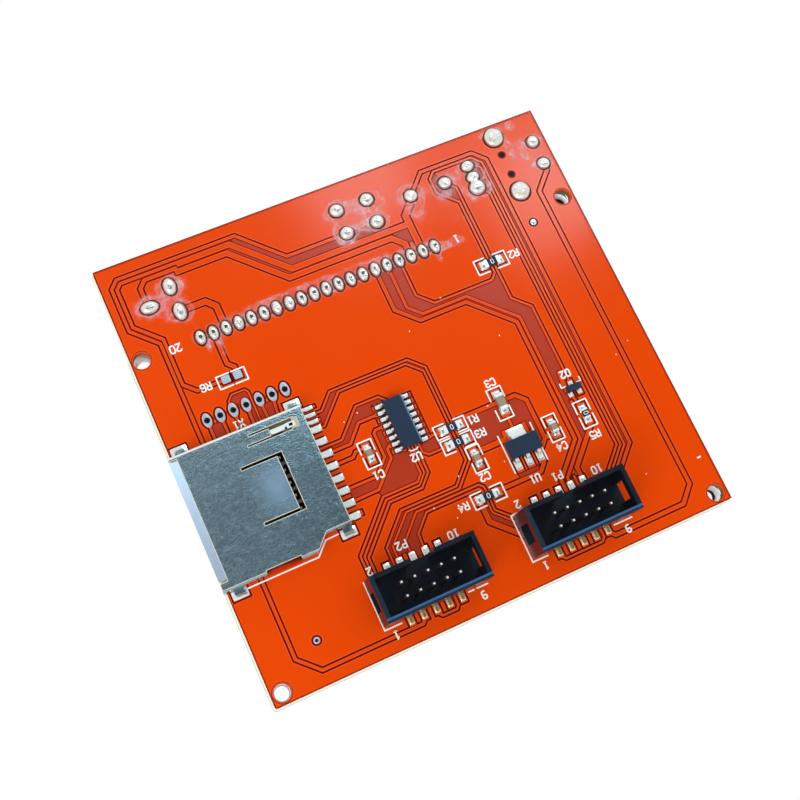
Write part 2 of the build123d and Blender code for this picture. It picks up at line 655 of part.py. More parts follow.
with BuildPart() as rear_glass:
    with BuildSketch(Plane.XY.offset(rear_glass_z)):
        Rectangle(glass_size[0], glass_size[1])
    extrude(amount=glass_thickness)
write(rear_glass.part, "rear_glass")
with BuildPart() as zebra_strips:
    with BuildSketch(Plane.XY.offset(guide_z)):
        with Locations((0, zebra_y), (0, -zebra_y)):
            Rectangle(zebra_length, zebra_width)
    extrude(amount=display_front - guide_z)
write(zebra_strips.part, "zebra_strips")
with BuildPart() as backlight_guide:
    with BuildSketch(Plane.XY.offset(guide_z)):
        Rectangle(zebra_length + 2, 2 * zebra_y - zebra_width - 0.1)
    extrude(amount=display_front - guide_z)
write(backlight_guide.part, "backlight_guide")
with BuildPart() as chip_blobs:
    for x, y in blob_points:
        with BuildSketch(Plane.XZ.offset(-y)):
            with BuildLine():
                foot = Line((x, display_rear), (x + blob_radius, display_rear))
                dome = ThreePointArc(foot @ 1, (x + 0.72 * blob_radius, display_rear + 0.57 * blob_height),
                                     (x + blob_crown, display_rear + blob_height))
                crown = Line(dome @ 1, (x, display_rear + blob_height))
                Line(crown @ 1, foot @ 0)
            make_face()
        revolve(axis=Axis((x, y, 0), (0, 0, 1)))
write(chip_blobs.part, "chip_blobs")

# Rotary encoder on the front face, its shaft pointing the way the display looks
bushing_bore = shaft_radius + shaft_clearance
bushing_radius = bushing_bore + bushing_wall
housing_depth = encoder_height - bushing_plate
plate_z = board_front - encoder_height
housing_end = board_front - housing_depth
dome_floor = board_front - 0.5
dome_room = board_front - 2.2
rotor_top = board_front - 4.0
rotor_bottom = rotor_top - rotor_thickness
flange_z = housing_end + 0.4
with BuildPart() as encoder_housing:
    with BuildSketch(Plane.XY.offset(housing_end)):
        with Locations((encoder_x, encoder_y)):
            Rectangle(encoder_width, encoder_length)
    extrude(amount=housing_depth)
    chamfer(encoder_housing.edges().filter_by(Axis.Z), 0.6)
    with BuildSketch(Plane.XY.offset(housing_end)):
        with Locations((encoder_x, encoder_y)):
            Circle(rotor_radius + 0.3)
    extrude(amount=dome_room - housing_end, mode=Mode.SUBTRACT)
    with BuildSketch(Plane.XY.offset(dome_room)):
        with Locations((encoder_x, encoder_y)):
            Circle(2.7)
    extrude(amount=dome_floor - dome_room, mode=Mode.SUBTRACT)
    with BuildSketch(Plane.XY.offset(board_front)):
        with Locations(*guide_points):
            Circle(0.4)
    extrude(amount=board_thickness - 0.5)
write(encoder_housing.part, "encoder_housing")
with BuildPart() as encoder_bracket:
    with BuildSketch(Plane.XY.offset(plate_z)):
        with Locations((encoder_x, encoder_y)):
            Rectangle(encoder_width - 1.2, 2 * lug_reach + bracket_sheet)
            Circle(bushing_radius, mode=Mode.SUBTRACT)
    extrude(amount=bushing_plate)
    with BuildSketch(Plane.XY.offset(housing_end)):
        with Locations(*lug_points):
            Rectangle(6.0, bracket_sheet)
    extrude(amount=board_front - 0.3 - housing_end)
    with BuildSketch(Plane.XY.offset(housing_end)):
        with Locations(*lug_points):
            Rectangle(lug_width, bracket_sheet)
    extrude(amount=1.0 - housing_end)
write(encoder_bracket.part, "encoder_bracket")
with BuildPart() as encoder_bushing:
    with BuildSketch(Plane.XY.offset(plate_z - bushing_length)):
        with Locations((encoder_x, encoder_y)):
            Circle(bushing_radius)
    extrude(amount=bushing_length + bushing_plate)
    chamfer(encoder_bushing.edges().group_by(Axis.Z)[0], 0.4)
    with BuildSketch(Plane.XY.offset(housing_end)):
        with Locations((encoder_x, encoder_y)):
            Circle(rotor_radius + 0.25)
    extrude(amount=flange_z - housing_end)
    with BuildSketch(Plane.XY.offset(plate_z - bushing_length)):
        with Locations((encoder_x, encoder_y)):
            Circle(bushing_bore)
    extrude(amount=bushing_length + bushing_plate + 1, mode=Mode.SUBTRACT)
write(encoder_bushing.part, "encoder_bushing")
shaft_tip = plate_z - shaft_length
shoulder = rotor_bottom - push_travel - 0.1
tail_end = dome_floor - 1.0
tail_slot = 2 * (shaft_tail_radius + tail_clearance)
with BuildPart() as encoder_rotor:
    with BuildSketch(Plane.XY.offset(rotor_bottom)):
        with Locations((encoder_x, encoder_y)):
            Circle(rotor_radius)
            Rectangle(tail_slot, tail_slot - tail_narrow, mode=Mode.SUBTRACT)
    extrude(amount=rotor_thickness)
write(encoder_rotor.part, "encoder_rotor")
with BuildPart() as encoder_shaft:
    with BuildSketch(Plane.XY.offset(shaft_tip)):
        with Locations((encoder_x, encoder_y)):
            Circle(shaft_radius)
    extrude(amount=shoulder - shaft_tip)
    chamfer(encoder_shaft.edges().group_by(Axis.Z)[0], 0.5)
    with BuildSketch(Plane.XY.offset(shaft_tip)):
        with Locations((encoder_x, encoder_y - shaft_radius)):
            Rectangle(2 * shaft_radius, 2 * shaft_flat)
    extrude(amount=shaft_flat_length, mode=Mode.SUBTRACT)
    with BuildSketch(Plane.XY.offset(shoulder)):
        with Locations((encoder_x, encoder_y)):
            Rectangle(2 * shaft_tail_radius, 2 * shaft_tail_radius - tail_narrow)
    extrude(amount=tail_end - shoulder)
    with BuildSketch(Plane.XY.offset(tail_end - 0.5)):
        with Locations((encoder_x, encoder_y)):
            Circle(2.2)
    extrude(amount=0.5)
write(encoder_shaft.part, "encoder_shaft")
terminal_z = board_front - 1.5
with BuildPart() as encoder_terminals:
    for points, face_x in ((encoder_pin_points, encoder_x - encoder_width / 2),
                           (switch_pin_points, encoder_x + encoder_width / 2)):
        with BuildSketch(Plane.XY.offset(terminal_z)):
            with Locations(*points):
                Rectangle(terminal_sheet, terminal_width)
        extrude(amount=0.9 - terminal_z)
        with BuildSketch(Plane.XY.offset(terminal_z)):
            for x, y in points:
                with Locations(((x + face_x) / 2, y)):
                    Rectangle(abs(face_x - x), terminal_width)
        extrude(amount=terminal_sheet)
write(encoder_terminals.part, "encoder_terminals")
with BuildPart() as encoder_dome:
    with BuildSketch(Plane.XY.offset(dome_floor - 0.4)):
        with Locations((encoder_x, encoder_y)):
            Circle(2.4)
    extrude(amount=0.4)
    chamfer(encoder_dome.edges().group_by(Axis.Z)[0], 0.3, 1.2)
write(encoder_dome.part, "encoder_dome")

# Buzzer
buzzer_end = board_front - buzzer_height
base_inner = buzzer_radius - buzzer_wall
with BuildPart() as buzzer_case:
    with BuildSketch(Plane.XY.offset(buzzer_end)):
        with Locations((buzzer_x, buzzer_y)):
            Circle(buzzer_radius)
    extrude(amount=buzzer_height)
    fillet(buzzer_case.edges().group_by(Axis.Z)[0], 0.4)
    with BuildSketch(Plane.XY.offset(buzzer_end + 1.0)):
        with Locations((buzzer_x, buzzer_y)):
            Circle(base_inner)
    extrude(amount=buzzer_height, mode=Mode.SUBTRACT)
    with BuildSketch(Plane.XY.offset(buzzer_end)):
        with Locations((buzzer_x, buzzer_y)):
            Circle(buzzer_hole / 2)
    extrude(amount=1.0, mode=Mode.SUBTRACT)
    with BuildSketch(Plane.XY.offset(buzzer_end + 1.0)):
        with Locations((buzzer_x, buzzer_y)):
            Circle(base_inner)
            Circle(base_inner - 0.7, mode=Mode.SUBTRACT)
    extrude(amount=1.6)
write(buzzer_case.part, "buzzer_case")
with BuildPart() as buzzer_diaphragm:
    with BuildSketch(Plane.XY.offset(buzzer_end + 2.6)):
        with Locations((buzzer_x, buzzer_y)):
            Circle(base_inner - 0.1)
    extrude(amount=0.15)
write(buzzer_diaphragm.part, "buzzer_diaphragm")
with BuildPart() as buzzer_base:
    with BuildSketch(Plane.XY.offset(board_front - 1.4)):
        with Locations((buzzer_x, buzzer_y)):
            Circle(base_inner)
        with Locations(*buzzer_points):
            Rectangle(buzzer_pin, buzzer_pin, mode=Mode.SUBTRACT)
    extrude(amount=1.4)
    with BuildSketch(Plane.XY.offset(board_front - 5.9)):
        with Locations((buzzer_x, buzzer_y)):
            Circle(1.6)
    extrude(amount=4.5)
write(buzzer_base.part, "buzzer_base")
with BuildPart() as buzzer_pins:
    with BuildSketch(Plane.XY.offset(board_front - 2.0)):
        with Locations(*buzzer_points):
            Rectangle(buzzer_pin, buzzer_pin)
    extrude(amount=2.0 - board_front + 1.0)
write(buzzer_pins.part, "buzzer_pins")

# Push button
button_end = board_front - button_height
cover_z = button_end + button_cover
plunger_flange = plunger_radius + 0.35
with BuildPart() as button_base:
    with BuildSketch(Plane.XY.offset(cover_z)):
        with Locations((button_x, button_y)):
            Rectangle(button_size, button_size)
    extrude(amount=board_front - cover_z)
    with BuildSketch(Plane.XY.offset(cover_z)):
        with Locations((button_x, button_y)):
            Circle(plunger_flange + 0.1)
    extrude(amount=2.0, mode=Mode.SUBTRACT)
write(button_base.part, "button_base")
with BuildPart() as button_cover_plate:
    with BuildSketch(Plane.XY.offset(button_end)):
        with Locations((button_x, button_y)):
            RectangleRounded(button_size, button_size, 0.4)
            Circle(plunger_radius + plunger_clearance, mode=Mode.SUBTRACT)
    extrude(amount=button_cover)
    with BuildSketch(Plane.XY.offset(button_end - 0.25)):
        with Locations((button_x, button_y)):
            with GridLocations(4.6, 4.6, 2, 2):
                Circle(0.4)
    extrude(amount=0.25)
write(button_cover_plate.part, "button_cover")
with BuildPart() as button_plunger:
    with BuildSketch(Plane.XY.offset(button_end - plunger_proud)):
        with Locations((button_x, button_y)):
            Circle(plunger_radius)
    extrude(amount=plunger_proud + button_cover + 0.1)
    with BuildSketch(Plane.XY.offset(cover_z + 0.05)):
        with Locations((button_x, button_y)):
            Circle(plunger_flange)
    extrude(amount=1.1)
write(button_plunger.part, "button_plunger")
dome_z = cover_z + 2.0
with BuildPart() as button_dome:
    with BuildSketch(Plane.XY.offset(dome_z - 0.4)):
        with Locations((button_x, button_y)):
            Circle(plunger_flange)
    extrude(amount=0.4)
    chamfer(button_dome.edges().group_by(Axis.Z)[0], 0.3, 1.2)
write(button_dome.part, "button_dome")
with BuildPart() as button_terminals:
    for x, y in button_points:
        with BuildSketch(Plane.XY.offset(board_front - 1.6)):
            with Locations((x, y)):
                Rectangle(button_leg_sheet, button_leg_width)
        extrude(amount=1.0 - board_front + 1.6)
write(button_terminals.part, "button_terminals")

# Contrast trimmer
trimmer_end = board_front - trimmer_rim
with BuildPart() as trimmer_base:
    with BuildSketch(Plane.XY.offset(trimmer_end)):
        with Locations((trimmer_x, trimmer_y)):
            Circle(trimmer_radius)
            Circle(rotor_dial_radius + dial_clearance, mode=Mode.SUBTRACT)
    extrude(amount=trimmer_rim)
    with BuildSketch(Plane.XY.offset(board_front - 0.8)):
        with Locations((trimmer_x, trimmer_y)):
            Circle(rotor_dial_radius + dial_clearance)
        with Locations(*trimmer_pins):
            Rectangle(trimmer_pin, trimmer_pin, mode=Mode.SUBTRACT)
    extrude(amount=0.8)
    with BuildSketch(Plane.XY.offset(board_front)):
        with Locations(*trimmer_pins):
            Rectangle(trimmer_pin, trimmer_pin)
    extrude(amount=-trimmer_rim, mode=Mode.SUBTRACT)
    with BuildSketch(Plane.XY.offset(trimmer_end - 0.3)):
        with Locations((trimmer_x, trimmer_y)):
            Circle(0.55)
    extrude(amount=trimmer_rim + 0.3 - 0.8)
write(trimmer_base.part, "trimmer_base")
with BuildPart() as trimmer_dial:
    with BuildSketch(Plane.XY.offset(board_front - 0.85 - dial_height)):
        with Locations((trimmer_x, trimmer_y)):
            Circle(rotor_dial_radius)
            Circle(0.6, mode=Mode.SUBTRACT)
    extrude(amount=dial_height)
    with BuildSketch(Plane.XY.offset(board_front - 0.85 - dial_height)):
        with Locations((trimmer_x, trimmer_y)):
            Rectangle(3.4, 0.6)
            Rectangle(0.6, 3.4)
    extrude(amount=0.7, mode=Mode.SUBTRACT)
write(trimmer_dial.part, "trimmer_dial")
with BuildPart() as trimmer_terminals:
    with BuildSketch(Plane.XY.offset(trimmer_end)):
        with Locations(*trimmer_pins):
            Rectangle(trimmer_pin, trimmer_pin)
    extrude(amount=1.0 - trimmer_end)
write(trimmer_terminals.part, "trimmer_terminals")

# Card socket: formed steel shell over an insulating base, with the card mouth at the left edge
shell_top = socket_height
shell_outline = [
    (socket_left, -socket_half), (step_x - step_run, -socket_half), (step_x, step_y),
    (socket_right, step_y), (socket_right, socket_half), (socket_left, socket_half),
]
inner_right = socket_right - shell_sheet
inner_half = socket_half - shell_sheet
shell_inner = [
    (socket_left, -inner_half), (step_x - step_run - 0.1, -inner_half), (step_x - 0.1, step_y + shell_sheet),
    (inner_right, step_y + shell_sheet), (inner_right, inner_half), (socket_left, inner_half),
]
flap_x = socket_right - 10.45
lock_x = socket_right - 4.2
lock_y = socket_half - 2.7
notch_x = socket_left + 11.6
with BuildPart() as socket_shell:
    with BuildSketch(Plane.XY.offset(seat)):
        Polygon(*shell_outline, align=None)
    extrude(amount=shell_top - seat)
    fillet(socket_shell.edges().group_by(Axis.Z)[-1].filter_by(Axis.X), 0.35)
    with BuildSketch(Plane.XY.offset(seat)):
        Polygon(*shell_inner, align=None)
    extrude(amount=shell_top - shell_sheet - seat, mode=Mode.SUBTRACT)
    with BuildSketch(Plane.XY.offset(shell_top - shell_sheet)):
        with Locations((flap_x, flap_y + flap_width / 2), (flap_x, flap_y - flap_width / 2)):
            Rectangle(flap_length, flap_slot)
        with Locations((flap_x + flap_length / 2 - flap_slot / 2, flap_y)):
            Rectangle(2 * flap_slot, flap_width + flap_slot)
        with Locations((lock_x - 2.2, lock_y + 0.9), (lock_x - 3.0, lock_y - 0.9)):
            Rectangle(8.6, lock_slot)
        with Locations((lock_x, lock_y)):
            Rectangle(lock_length, lock_width)
    extrude(amount=shell_sheet, mode=Mode.SUBTRACT)
    with BuildSketch(Plane.XY.offset(shell_top - 2 * shell_sheet)):
        with Locations((lock_x - 0.75, lock_y)):
            Rectangle(4.1, lock_width - 2 * lock_slot)
        with Locations((lock_x + 0.8, lock_y)):
            Rectangle(0.7, 0.4, mode=Mode.SUBTRACT)
    extrude(amount=shell_sheet)
    with BuildSketch(Plane.XY.offset(seat)):
        with Locations((socket_right, -1.0)):
            Rectangle(2.0, 27.6)
    extrude(amount=1.15, mode=Mode.SUBTRACT)
    with BuildSketch(Plane.XY.offset(seat)):
        with Locations((notch_x, -socket_half)):
            Rectangle(side_notch[0], 2 * side_notch[1])
    extrude(amount=shell_top, mode=Mode.SUBTRACT)
    with BuildSketch(Plane.XY.offset(shell_top - shell_sheet)):
        with Locations((socket_left + mouth_lip / 2, (mouth_low_y + mouth_high_y) / 2)):
            Rectangle(mouth_lip, mouth_high_y - mouth_low_y)
    extrude(amount=shell_sheet, mode=Mode.SUBTRACT)
    with BuildSketch(Plane.XZ.offset(-mouth_low_y - mouth_relief)):
        bend_x = socket_left + mouth_lip
        Polygon((bend_x, shell_top - shell_sheet), (bend_x, shell_top), (socket_left, shell_top + mouth_rise),
                (socket_left, shell_top + mouth_rise - shell_sheet), align=None)
    extrude(amount=mouth_low_y - mouth_high_y + 2 * mouth_relief)
    with BuildSketch(Plane.XY.offset(seat)):
        with Locations((socket_tabs[0][0], socket_half + 0.5), (socket_tabs[1][0], socket_half + 0.5)):
            Rectangle(1.8, 1.0)
        with Locations((socket_tabs[2][0], -socket_half - 0.45), (socket_tabs[3][0], step_y - 0.5)):
            Rectangle(1.8, 1.0)
    extrude(amount=shell_sheet)
write(socket_shell.part, "socket_shell")
floor_top = seat + socket_floor
rail = (2 * inner_half - card_width) / 2
with BuildPart() as socket_base:
    with BuildSketch(Plane.XY.offset(seat)):
        Polygon(*[(x + (0.3 if x == socket_left else 0), y) for x, y in shell_inner], align=None)
    extrude(amount=socket_floor)
    with BuildSketch(Plane.XY.offset(seat)):
        with Locations((inner_right - socket_rear_wall / 2, (inner_half + step_y + shell_sheet) / 2)):
            Rectangle(socket_rear_wall, inner_half - step_y - shell_sheet)
        with Locations((-32.5, inner_half - rail / 2)):
            Rectangle(18.0, rail)
    extrude(amount=shell_top - shell_sheet - seat)
    with BuildSketch(Plane.XY.offset(floor_top - 0.2)):
        for y in contact_ys:
            with Locations((inner_right - 3.0, y)):
                Rectangle(12.0, contact_width)
        for y in small_contact_ys:
            with Locations((inner_right - 1.5, y)):
                Rectangle(6.0, small_contact_width)
    extrude(amount=contact_sheet, mode=Mode.SUBTRACT)
write(socket_base.part, "socket_base")
strip_z = floor_top - 0.2
with BuildPart() as socket_contacts:
    for ys, width, length in ((contact_ys, contact_width, 9.0), (small_contact_ys, small_contact_width, 4.5)):
        for y in ys:
            with BuildSketch(Plane.XZ.offset(-y)):
                start = socket_right + 0.5
                Polygon((start - length, strip_z), (start, strip_z), (start + 0.2, seat),
                        (start + contact_tail, seat), (start + contact_tail, seat + contact_sheet),
                        (start + 0.35, seat + contact_sheet), (start + 0.15, strip_z + contact_sheet),
                        (start - length, strip_z + contact_sheet), align=None)
            extrude(amount=width / 2, both=True)
write(socket_contacts.part, "socket_contacts")

# Shrouded headers with their gull-wing pins
shroud_bottom = seat + shroud_lift
shroud_top = shroud_height
for name, shroud_x in shroud_xs.items():
    pin_xs = [shroud_x + pin_pitch * (step - (box_pins - 1) / 2) for step in range(box_pins)]
    pin_rows = [(x, shroud_y + side * pin_pitch / 2) for x in pin_xs for side in (-1, 1)]
    with BuildPart() as shroud:
        with BuildSketch(Plane.XY.offset(shroud_bottom)):
            with Locations((shroud_x, shroud_y)):
                Rectangle(shroud_length, shroud_width)
        extrude(amount=shroud_top - shroud_bottom)
        with BuildSketch(Plane.XY.offset(shroud_bottom + shroud_floor)):
            with Locations((shroud_x, shroud_y)):
                Rectangle(shroud_length - 2 * shroud_wall, shroud_width - 2 * shroud_wall)
        extrude(amount=shroud_top, mode=Mode.SUBTRACT)
        with BuildSketch(Plane.XY.offset(shroud_bottom + shroud_floor)):
            with Locations((shroud_x, shroud_y + shroud_width / 2)):
                Rectangle(shroud_key, 2 * shroud_wall)
        extrude(amount=shroud_top, mode=Mode.SUBTRACT)
        with BuildSketch(Plane.XY.offset(shroud_bottom + shroud_floor)):
            with Locations((shroud_x, shroud_y)):
                Rectangle(shroud_length + 1, end_window_width)
        extrude(amount=end_window_high - shroud_bottom - shroud_floor, mode=Mode.SUBTRACT)
        with BuildSketch(Plane.XY.offset(shroud_bottom)):
            with Locations(*pin_rows):
                Rectangle(pin_size, pin_size)
        extrude(amount=shroud_floor, mode=Mode.SUBTRACT)
    write(shroud.part, name + "_shroud")
    with BuildPart() as box_pin_set:
        with BuildSketch(Plane.XY.offset(seat)):
            with Locations(*pin_rows):
                Rectangle(pin_size, pin_size)
        extrude(amount=shroud_top - 0.4 - seat)
        with BuildSketch(Plane.XY.offset(seat)):
            for x, y in pin_rows:
                side = 1 if y > shroud_y else -1
                with Locations((x, y + side * (lead_reach - pin_pitch / 2) / 2)):
                    Rectangle(pin_size, lead_reach - pin_pitch / 2)
        extrude(amount=lead_thickness)
    write(box_pin_set.part, name + "_pins")


def chip_body(middle, size, bottom, narrow=8.0):
    """Moulded body: a block whose sides lean in above and below the lead line."""
    with BuildPart() as body:
        with BuildSketch(Plane.XY.offset(bottom + size[2] / 2)):
            with Locations(middle):
                Rectangle(size[0], size[1])
        extrude(amount=size[2] / 2, taper=narrow)
        with BuildSketch(Plane.XY.offset(bottom + size[2] / 2)):
            with Locations(middle):
                Rectangle(size[0], size[1])
        extrude(amount=-size[2] / 2, taper=narrow)
    return body.part


def gull(start, reach, height, foot):
    """Side view of one bent lead, running from the body out and down to its pad."""
    bend = start + 0.35 * (reach - start)
    return [(start, height), (bend, height), (reach - foot, seat + lead_sheet), (reach, seat + lead_sheet),
            (reach, seat), (reach - foot - 0.1, seat), (bend - 0.1, height - lead_sheet),
            (start, height - lead_sheet)]


# Level shifter with sixteen leads
chip_lift = 0.1
write(chip_body(driver_middle, driver_body, seat + chip_lift), "shifter_body")
lead_height = seat + chip_lift + driver_body[2] / 2 + lead_sheet / 2
with BuildPart() as shifter_leads:
    for row in range(driver_count):
        lead_y = driver_middle[1] + driver_pitch * (row - (driver_count - 1) / 2)
        for side in (-1, 1):
            profile = gull(driver_body[0] / 2, driver_span / 2, lead_height, 0.65)
            with BuildSketch(Plane.XZ.offset(-lead_y)):
                Polygon(*[(driver_middle[0] + side * x, z) for x, z in profile], align=None)
            extrude(amount=0.21, both=True)
write(shifter_leads.part, "shifter_leads")

# Voltage regulator with its tab, and the small transistor
write(chip_body(regulator_middle, regulator_body, seat + 0.05), "regulator_body")
regulator_lead = seat + 0.05 + regulator_body[2] / 2 + lead_sheet / 2
with BuildPart() as regulator_leads:
    for step in (-1, 0, 1):
        with BuildSketch(Plane.YZ.offset(regulator_middle[0] + step * regulator_pitch)):
            Polygon(*[(regulator_middle[1] - y, z) for y, z in
                      gull(regulator_body[1] / 2, regulator_span / 2, regulator_lead, 0.8)], align=None)
        extrude(amount=0.36, both=True)
    with BuildSketch(Plane.YZ.offset(regulator_middle[0])):
        Polygon(*[(regulator_middle[1] + y, z) for y, z in
                  gull(regulator_body[1] / 2, regulator_span / 2, regulator_lead, 0.8)], align=None)
    extrude(amount=regulator_tab / 2, both=True)
write(regulator_leads.part, "regulator_leads")
write(chip_body(transistor_middle, transistor_body, seat + 0.05), "transistor_body")
transistor_lead = seat + 0.05 + transistor_body[2] / 2 + 0.06
with BuildPart() as transistor_leads:
    for step, side in ((-0.5, -1), (0.5, -1), (0, 1)):
        with BuildSketch(Plane.YZ.offset(transistor_middle[0] + step * transistor_pitch)):
            Polygon(*[(transistor_middle[1] + side * y, z) for y, z in
                      gull(transistor_body[1] / 2, transistor_span / 2, transistor_lead, 0.3)], align=None)
        extrude(amount=0.21, both=True)
write(transistor_leads.part, "transistor_leads")

# Chip resistors and capacitors
for name, (middle, turn, size, height) in chips.items():
    length, depth = chip_sizes[size]
    with BuildPart() as chip_part:
        with BuildSketch(Plane.XY.offset(seat)):
            with Locations(middle):
                Rectangle(length, depth, rotation=turn)
        extrude(amount=height)
    write(chip_part.part, name)
print("parts", len(os.listdir("parts")))
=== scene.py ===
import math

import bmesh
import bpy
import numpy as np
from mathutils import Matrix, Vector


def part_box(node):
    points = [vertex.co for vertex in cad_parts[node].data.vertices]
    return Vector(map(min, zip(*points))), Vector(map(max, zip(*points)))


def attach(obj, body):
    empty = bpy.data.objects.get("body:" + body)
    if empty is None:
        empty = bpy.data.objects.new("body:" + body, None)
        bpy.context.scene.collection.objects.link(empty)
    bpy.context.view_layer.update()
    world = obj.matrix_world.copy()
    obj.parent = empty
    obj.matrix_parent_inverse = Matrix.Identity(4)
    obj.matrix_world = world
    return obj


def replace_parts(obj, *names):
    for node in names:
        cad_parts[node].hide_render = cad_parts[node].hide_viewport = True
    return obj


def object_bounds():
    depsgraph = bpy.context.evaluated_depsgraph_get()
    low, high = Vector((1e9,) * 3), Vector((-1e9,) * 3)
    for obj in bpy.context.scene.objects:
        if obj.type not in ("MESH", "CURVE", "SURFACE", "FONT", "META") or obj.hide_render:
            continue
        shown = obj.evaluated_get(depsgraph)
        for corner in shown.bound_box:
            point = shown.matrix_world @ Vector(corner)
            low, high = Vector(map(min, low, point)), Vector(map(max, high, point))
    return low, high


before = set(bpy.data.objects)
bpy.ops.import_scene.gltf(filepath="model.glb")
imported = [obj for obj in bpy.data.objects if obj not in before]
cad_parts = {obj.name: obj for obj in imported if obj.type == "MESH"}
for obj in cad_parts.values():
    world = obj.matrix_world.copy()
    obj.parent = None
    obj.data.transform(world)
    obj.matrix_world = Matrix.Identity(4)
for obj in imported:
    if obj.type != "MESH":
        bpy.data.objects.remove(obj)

# %% [markdown]
# # A display module seen from behind
# The object is a sandwich of two circuit boards. The photograph looks down on the rear one, an orange board
# with a card socket, two shrouded headers, a row of solder joints and a few small chips. The CAD frame is
# already loaded: its nodes have the true shapes and places, in metres. The cells below give each node its
# finish, and replace the plain ones whose real surface is not plain, such as the solder.

MM = 0.001
FOIL = 0.05
TOP = 0.09
rng = np.random.default_rng(12)
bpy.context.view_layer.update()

# %% [markdown]
# ## Small helpers
# Nearly every piece below is either a merged and bevelled copy of a CAD node, or a mesh computed with numpy.
# The first helper makes an object from arrays of points and faces, and the second makes the bevelled copy.
# A bevel is worth its cost here, because a sharp CAD edge catches no light and looks drawn.


# %% Objects from arrays
def add_mesh(name, points, faces, material, body="root", smooth=True):
    """A mesh object from points in millimetres and faces as rows of corner numbers."""
    mesh = bpy.data.meshes.new(name)
    mesh.from_pydata((np.asarray(points) * MM).tolist(), [], np.asarray(faces).tolist())
    mesh.polygons.foreach_set("use_smooth", np.full(len(mesh.polygons), smooth))
    mesh.materials.append(material)
    obj = bpy.data.objects.new(name, mesh)
    bpy.context.scene.collection.objects.link(obj)
    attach(obj, body)
    return obj


def add_bevel(obj, width, segments=2, angle=35):
    """A bevel of that width in millimetres on edges sharper than the angle in degrees."""
    bevel = obj.modifiers.new("edge", "BEVEL")
    bevel.width = width * MM
    bevel.segments = segments
    bevel.limit_method = "ANGLE"
    bevel.angle_limit = math.radians(angle)
    bevel.harden_normals = True
    return bevel


# %% Merged copies of CAD nodes
def dressed(node, material, bevel=0.0, body="root", segments=2, sharp=32, cuts=()):
    """A copy of a CAD node with its corners merged and its flat faces whole, which then stands for the node."""
    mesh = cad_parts[node].data.copy()
    work = bmesh.new()
    work.from_mesh(mesh)
    bmesh.ops.remove_doubles(work, verts=work.verts, dist=2e-6)
    bmesh.ops.dissolve_limit(work, angle_limit=0.02, verts=work.verts, edges=work.edges)
    for axis, value in cuts:
        bmesh.ops.bisect_plane(work, geom=work.verts[:] + work.edges[:] + work.faces[:],
                               plane_co=[value * MM] * 3, plane_no=[float(k == axis) for k in range(3)])
    for edge in work.edges:
        edge.smooth = edge.calc_face_angle(0.0) < math.radians(sharp)
    for face in work.faces:
        face.smooth = True
    work.to_mesh(mesh)
    work.free()
    mesh.materials.clear()
    mesh.materials.append(material)
    obj = bpy.data.objects.new(node + "_skin", mesh)
    bpy.context.scene.collection.objects.link(obj)
    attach(obj, body)
    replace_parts(obj, node)
    if bevel:
        add_bevel(obj, bevel, segments)
    return obj


def repaint(obj, material, low, high):
    """Gives a material to the faces whose centre lies in a box, in millimetres."""
    mesh = obj.data
    mesh.materials.append(material)
    centre = np.zeros(len(mesh.polygons) * 3)
    index = np.zeros(len(mesh.polygons), np.int32)
    mesh.polygons.foreach_get("center", centre)
    mesh.polygons.foreach_get("material_index", index)
    centre = centre.reshape(-1, 3) / MM
    index[((centre > low) & (centre < high)).all(1)] = len(mesh.materials) - 1
    mesh.polygons.foreach_set("material_index", index)


def solids(node):
    """Boxes of the separate solids in a CAD node, in millimetres, found by spreading the lowest label."""
    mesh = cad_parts[node].data
    points = np.zeros(len(mesh.vertices) * 3)
    mesh.vertices.foreach_get("co", points)
    points = points.reshape(-1, 3) / MM
    corners = np.zeros(len(mesh.loops), int)
    mesh.loops.foreach_get("vertex_index", corners)
    keys, same = np.unique(np.round(points, 3), axis=0, return_inverse=True)
    triangles = same.ravel()[corners].reshape(-1, 3)
    label = np.arange(len(keys))
    while True:
        low = label[triangles].min(1)
        new = label.copy()
        np.minimum.at(new, triangles.ravel(), np.repeat(low, 3))
        new = new[new]
        if (new == label).all():
            break
        label = new
    found = [keys[label == value] for value in np.unique(label)]
    return [(part.min(0), part.max(0)) for part in found]


print("leads on the level shifter:", len(solids("shifter_leads")))

# %% [markdown]
# ## Materials
# Every finish is a Principled shader with two small layers of noise: one that shifts the colour a little, and
# one that roughens or bumps the surface. They are driven by Object coordinates, so the pattern has a real size
# and does not slide when a part moves. The solder mask is a clear coat over orange, the copper under it
# lightens it, and bare laminate between the tracks looks dark and brownish.


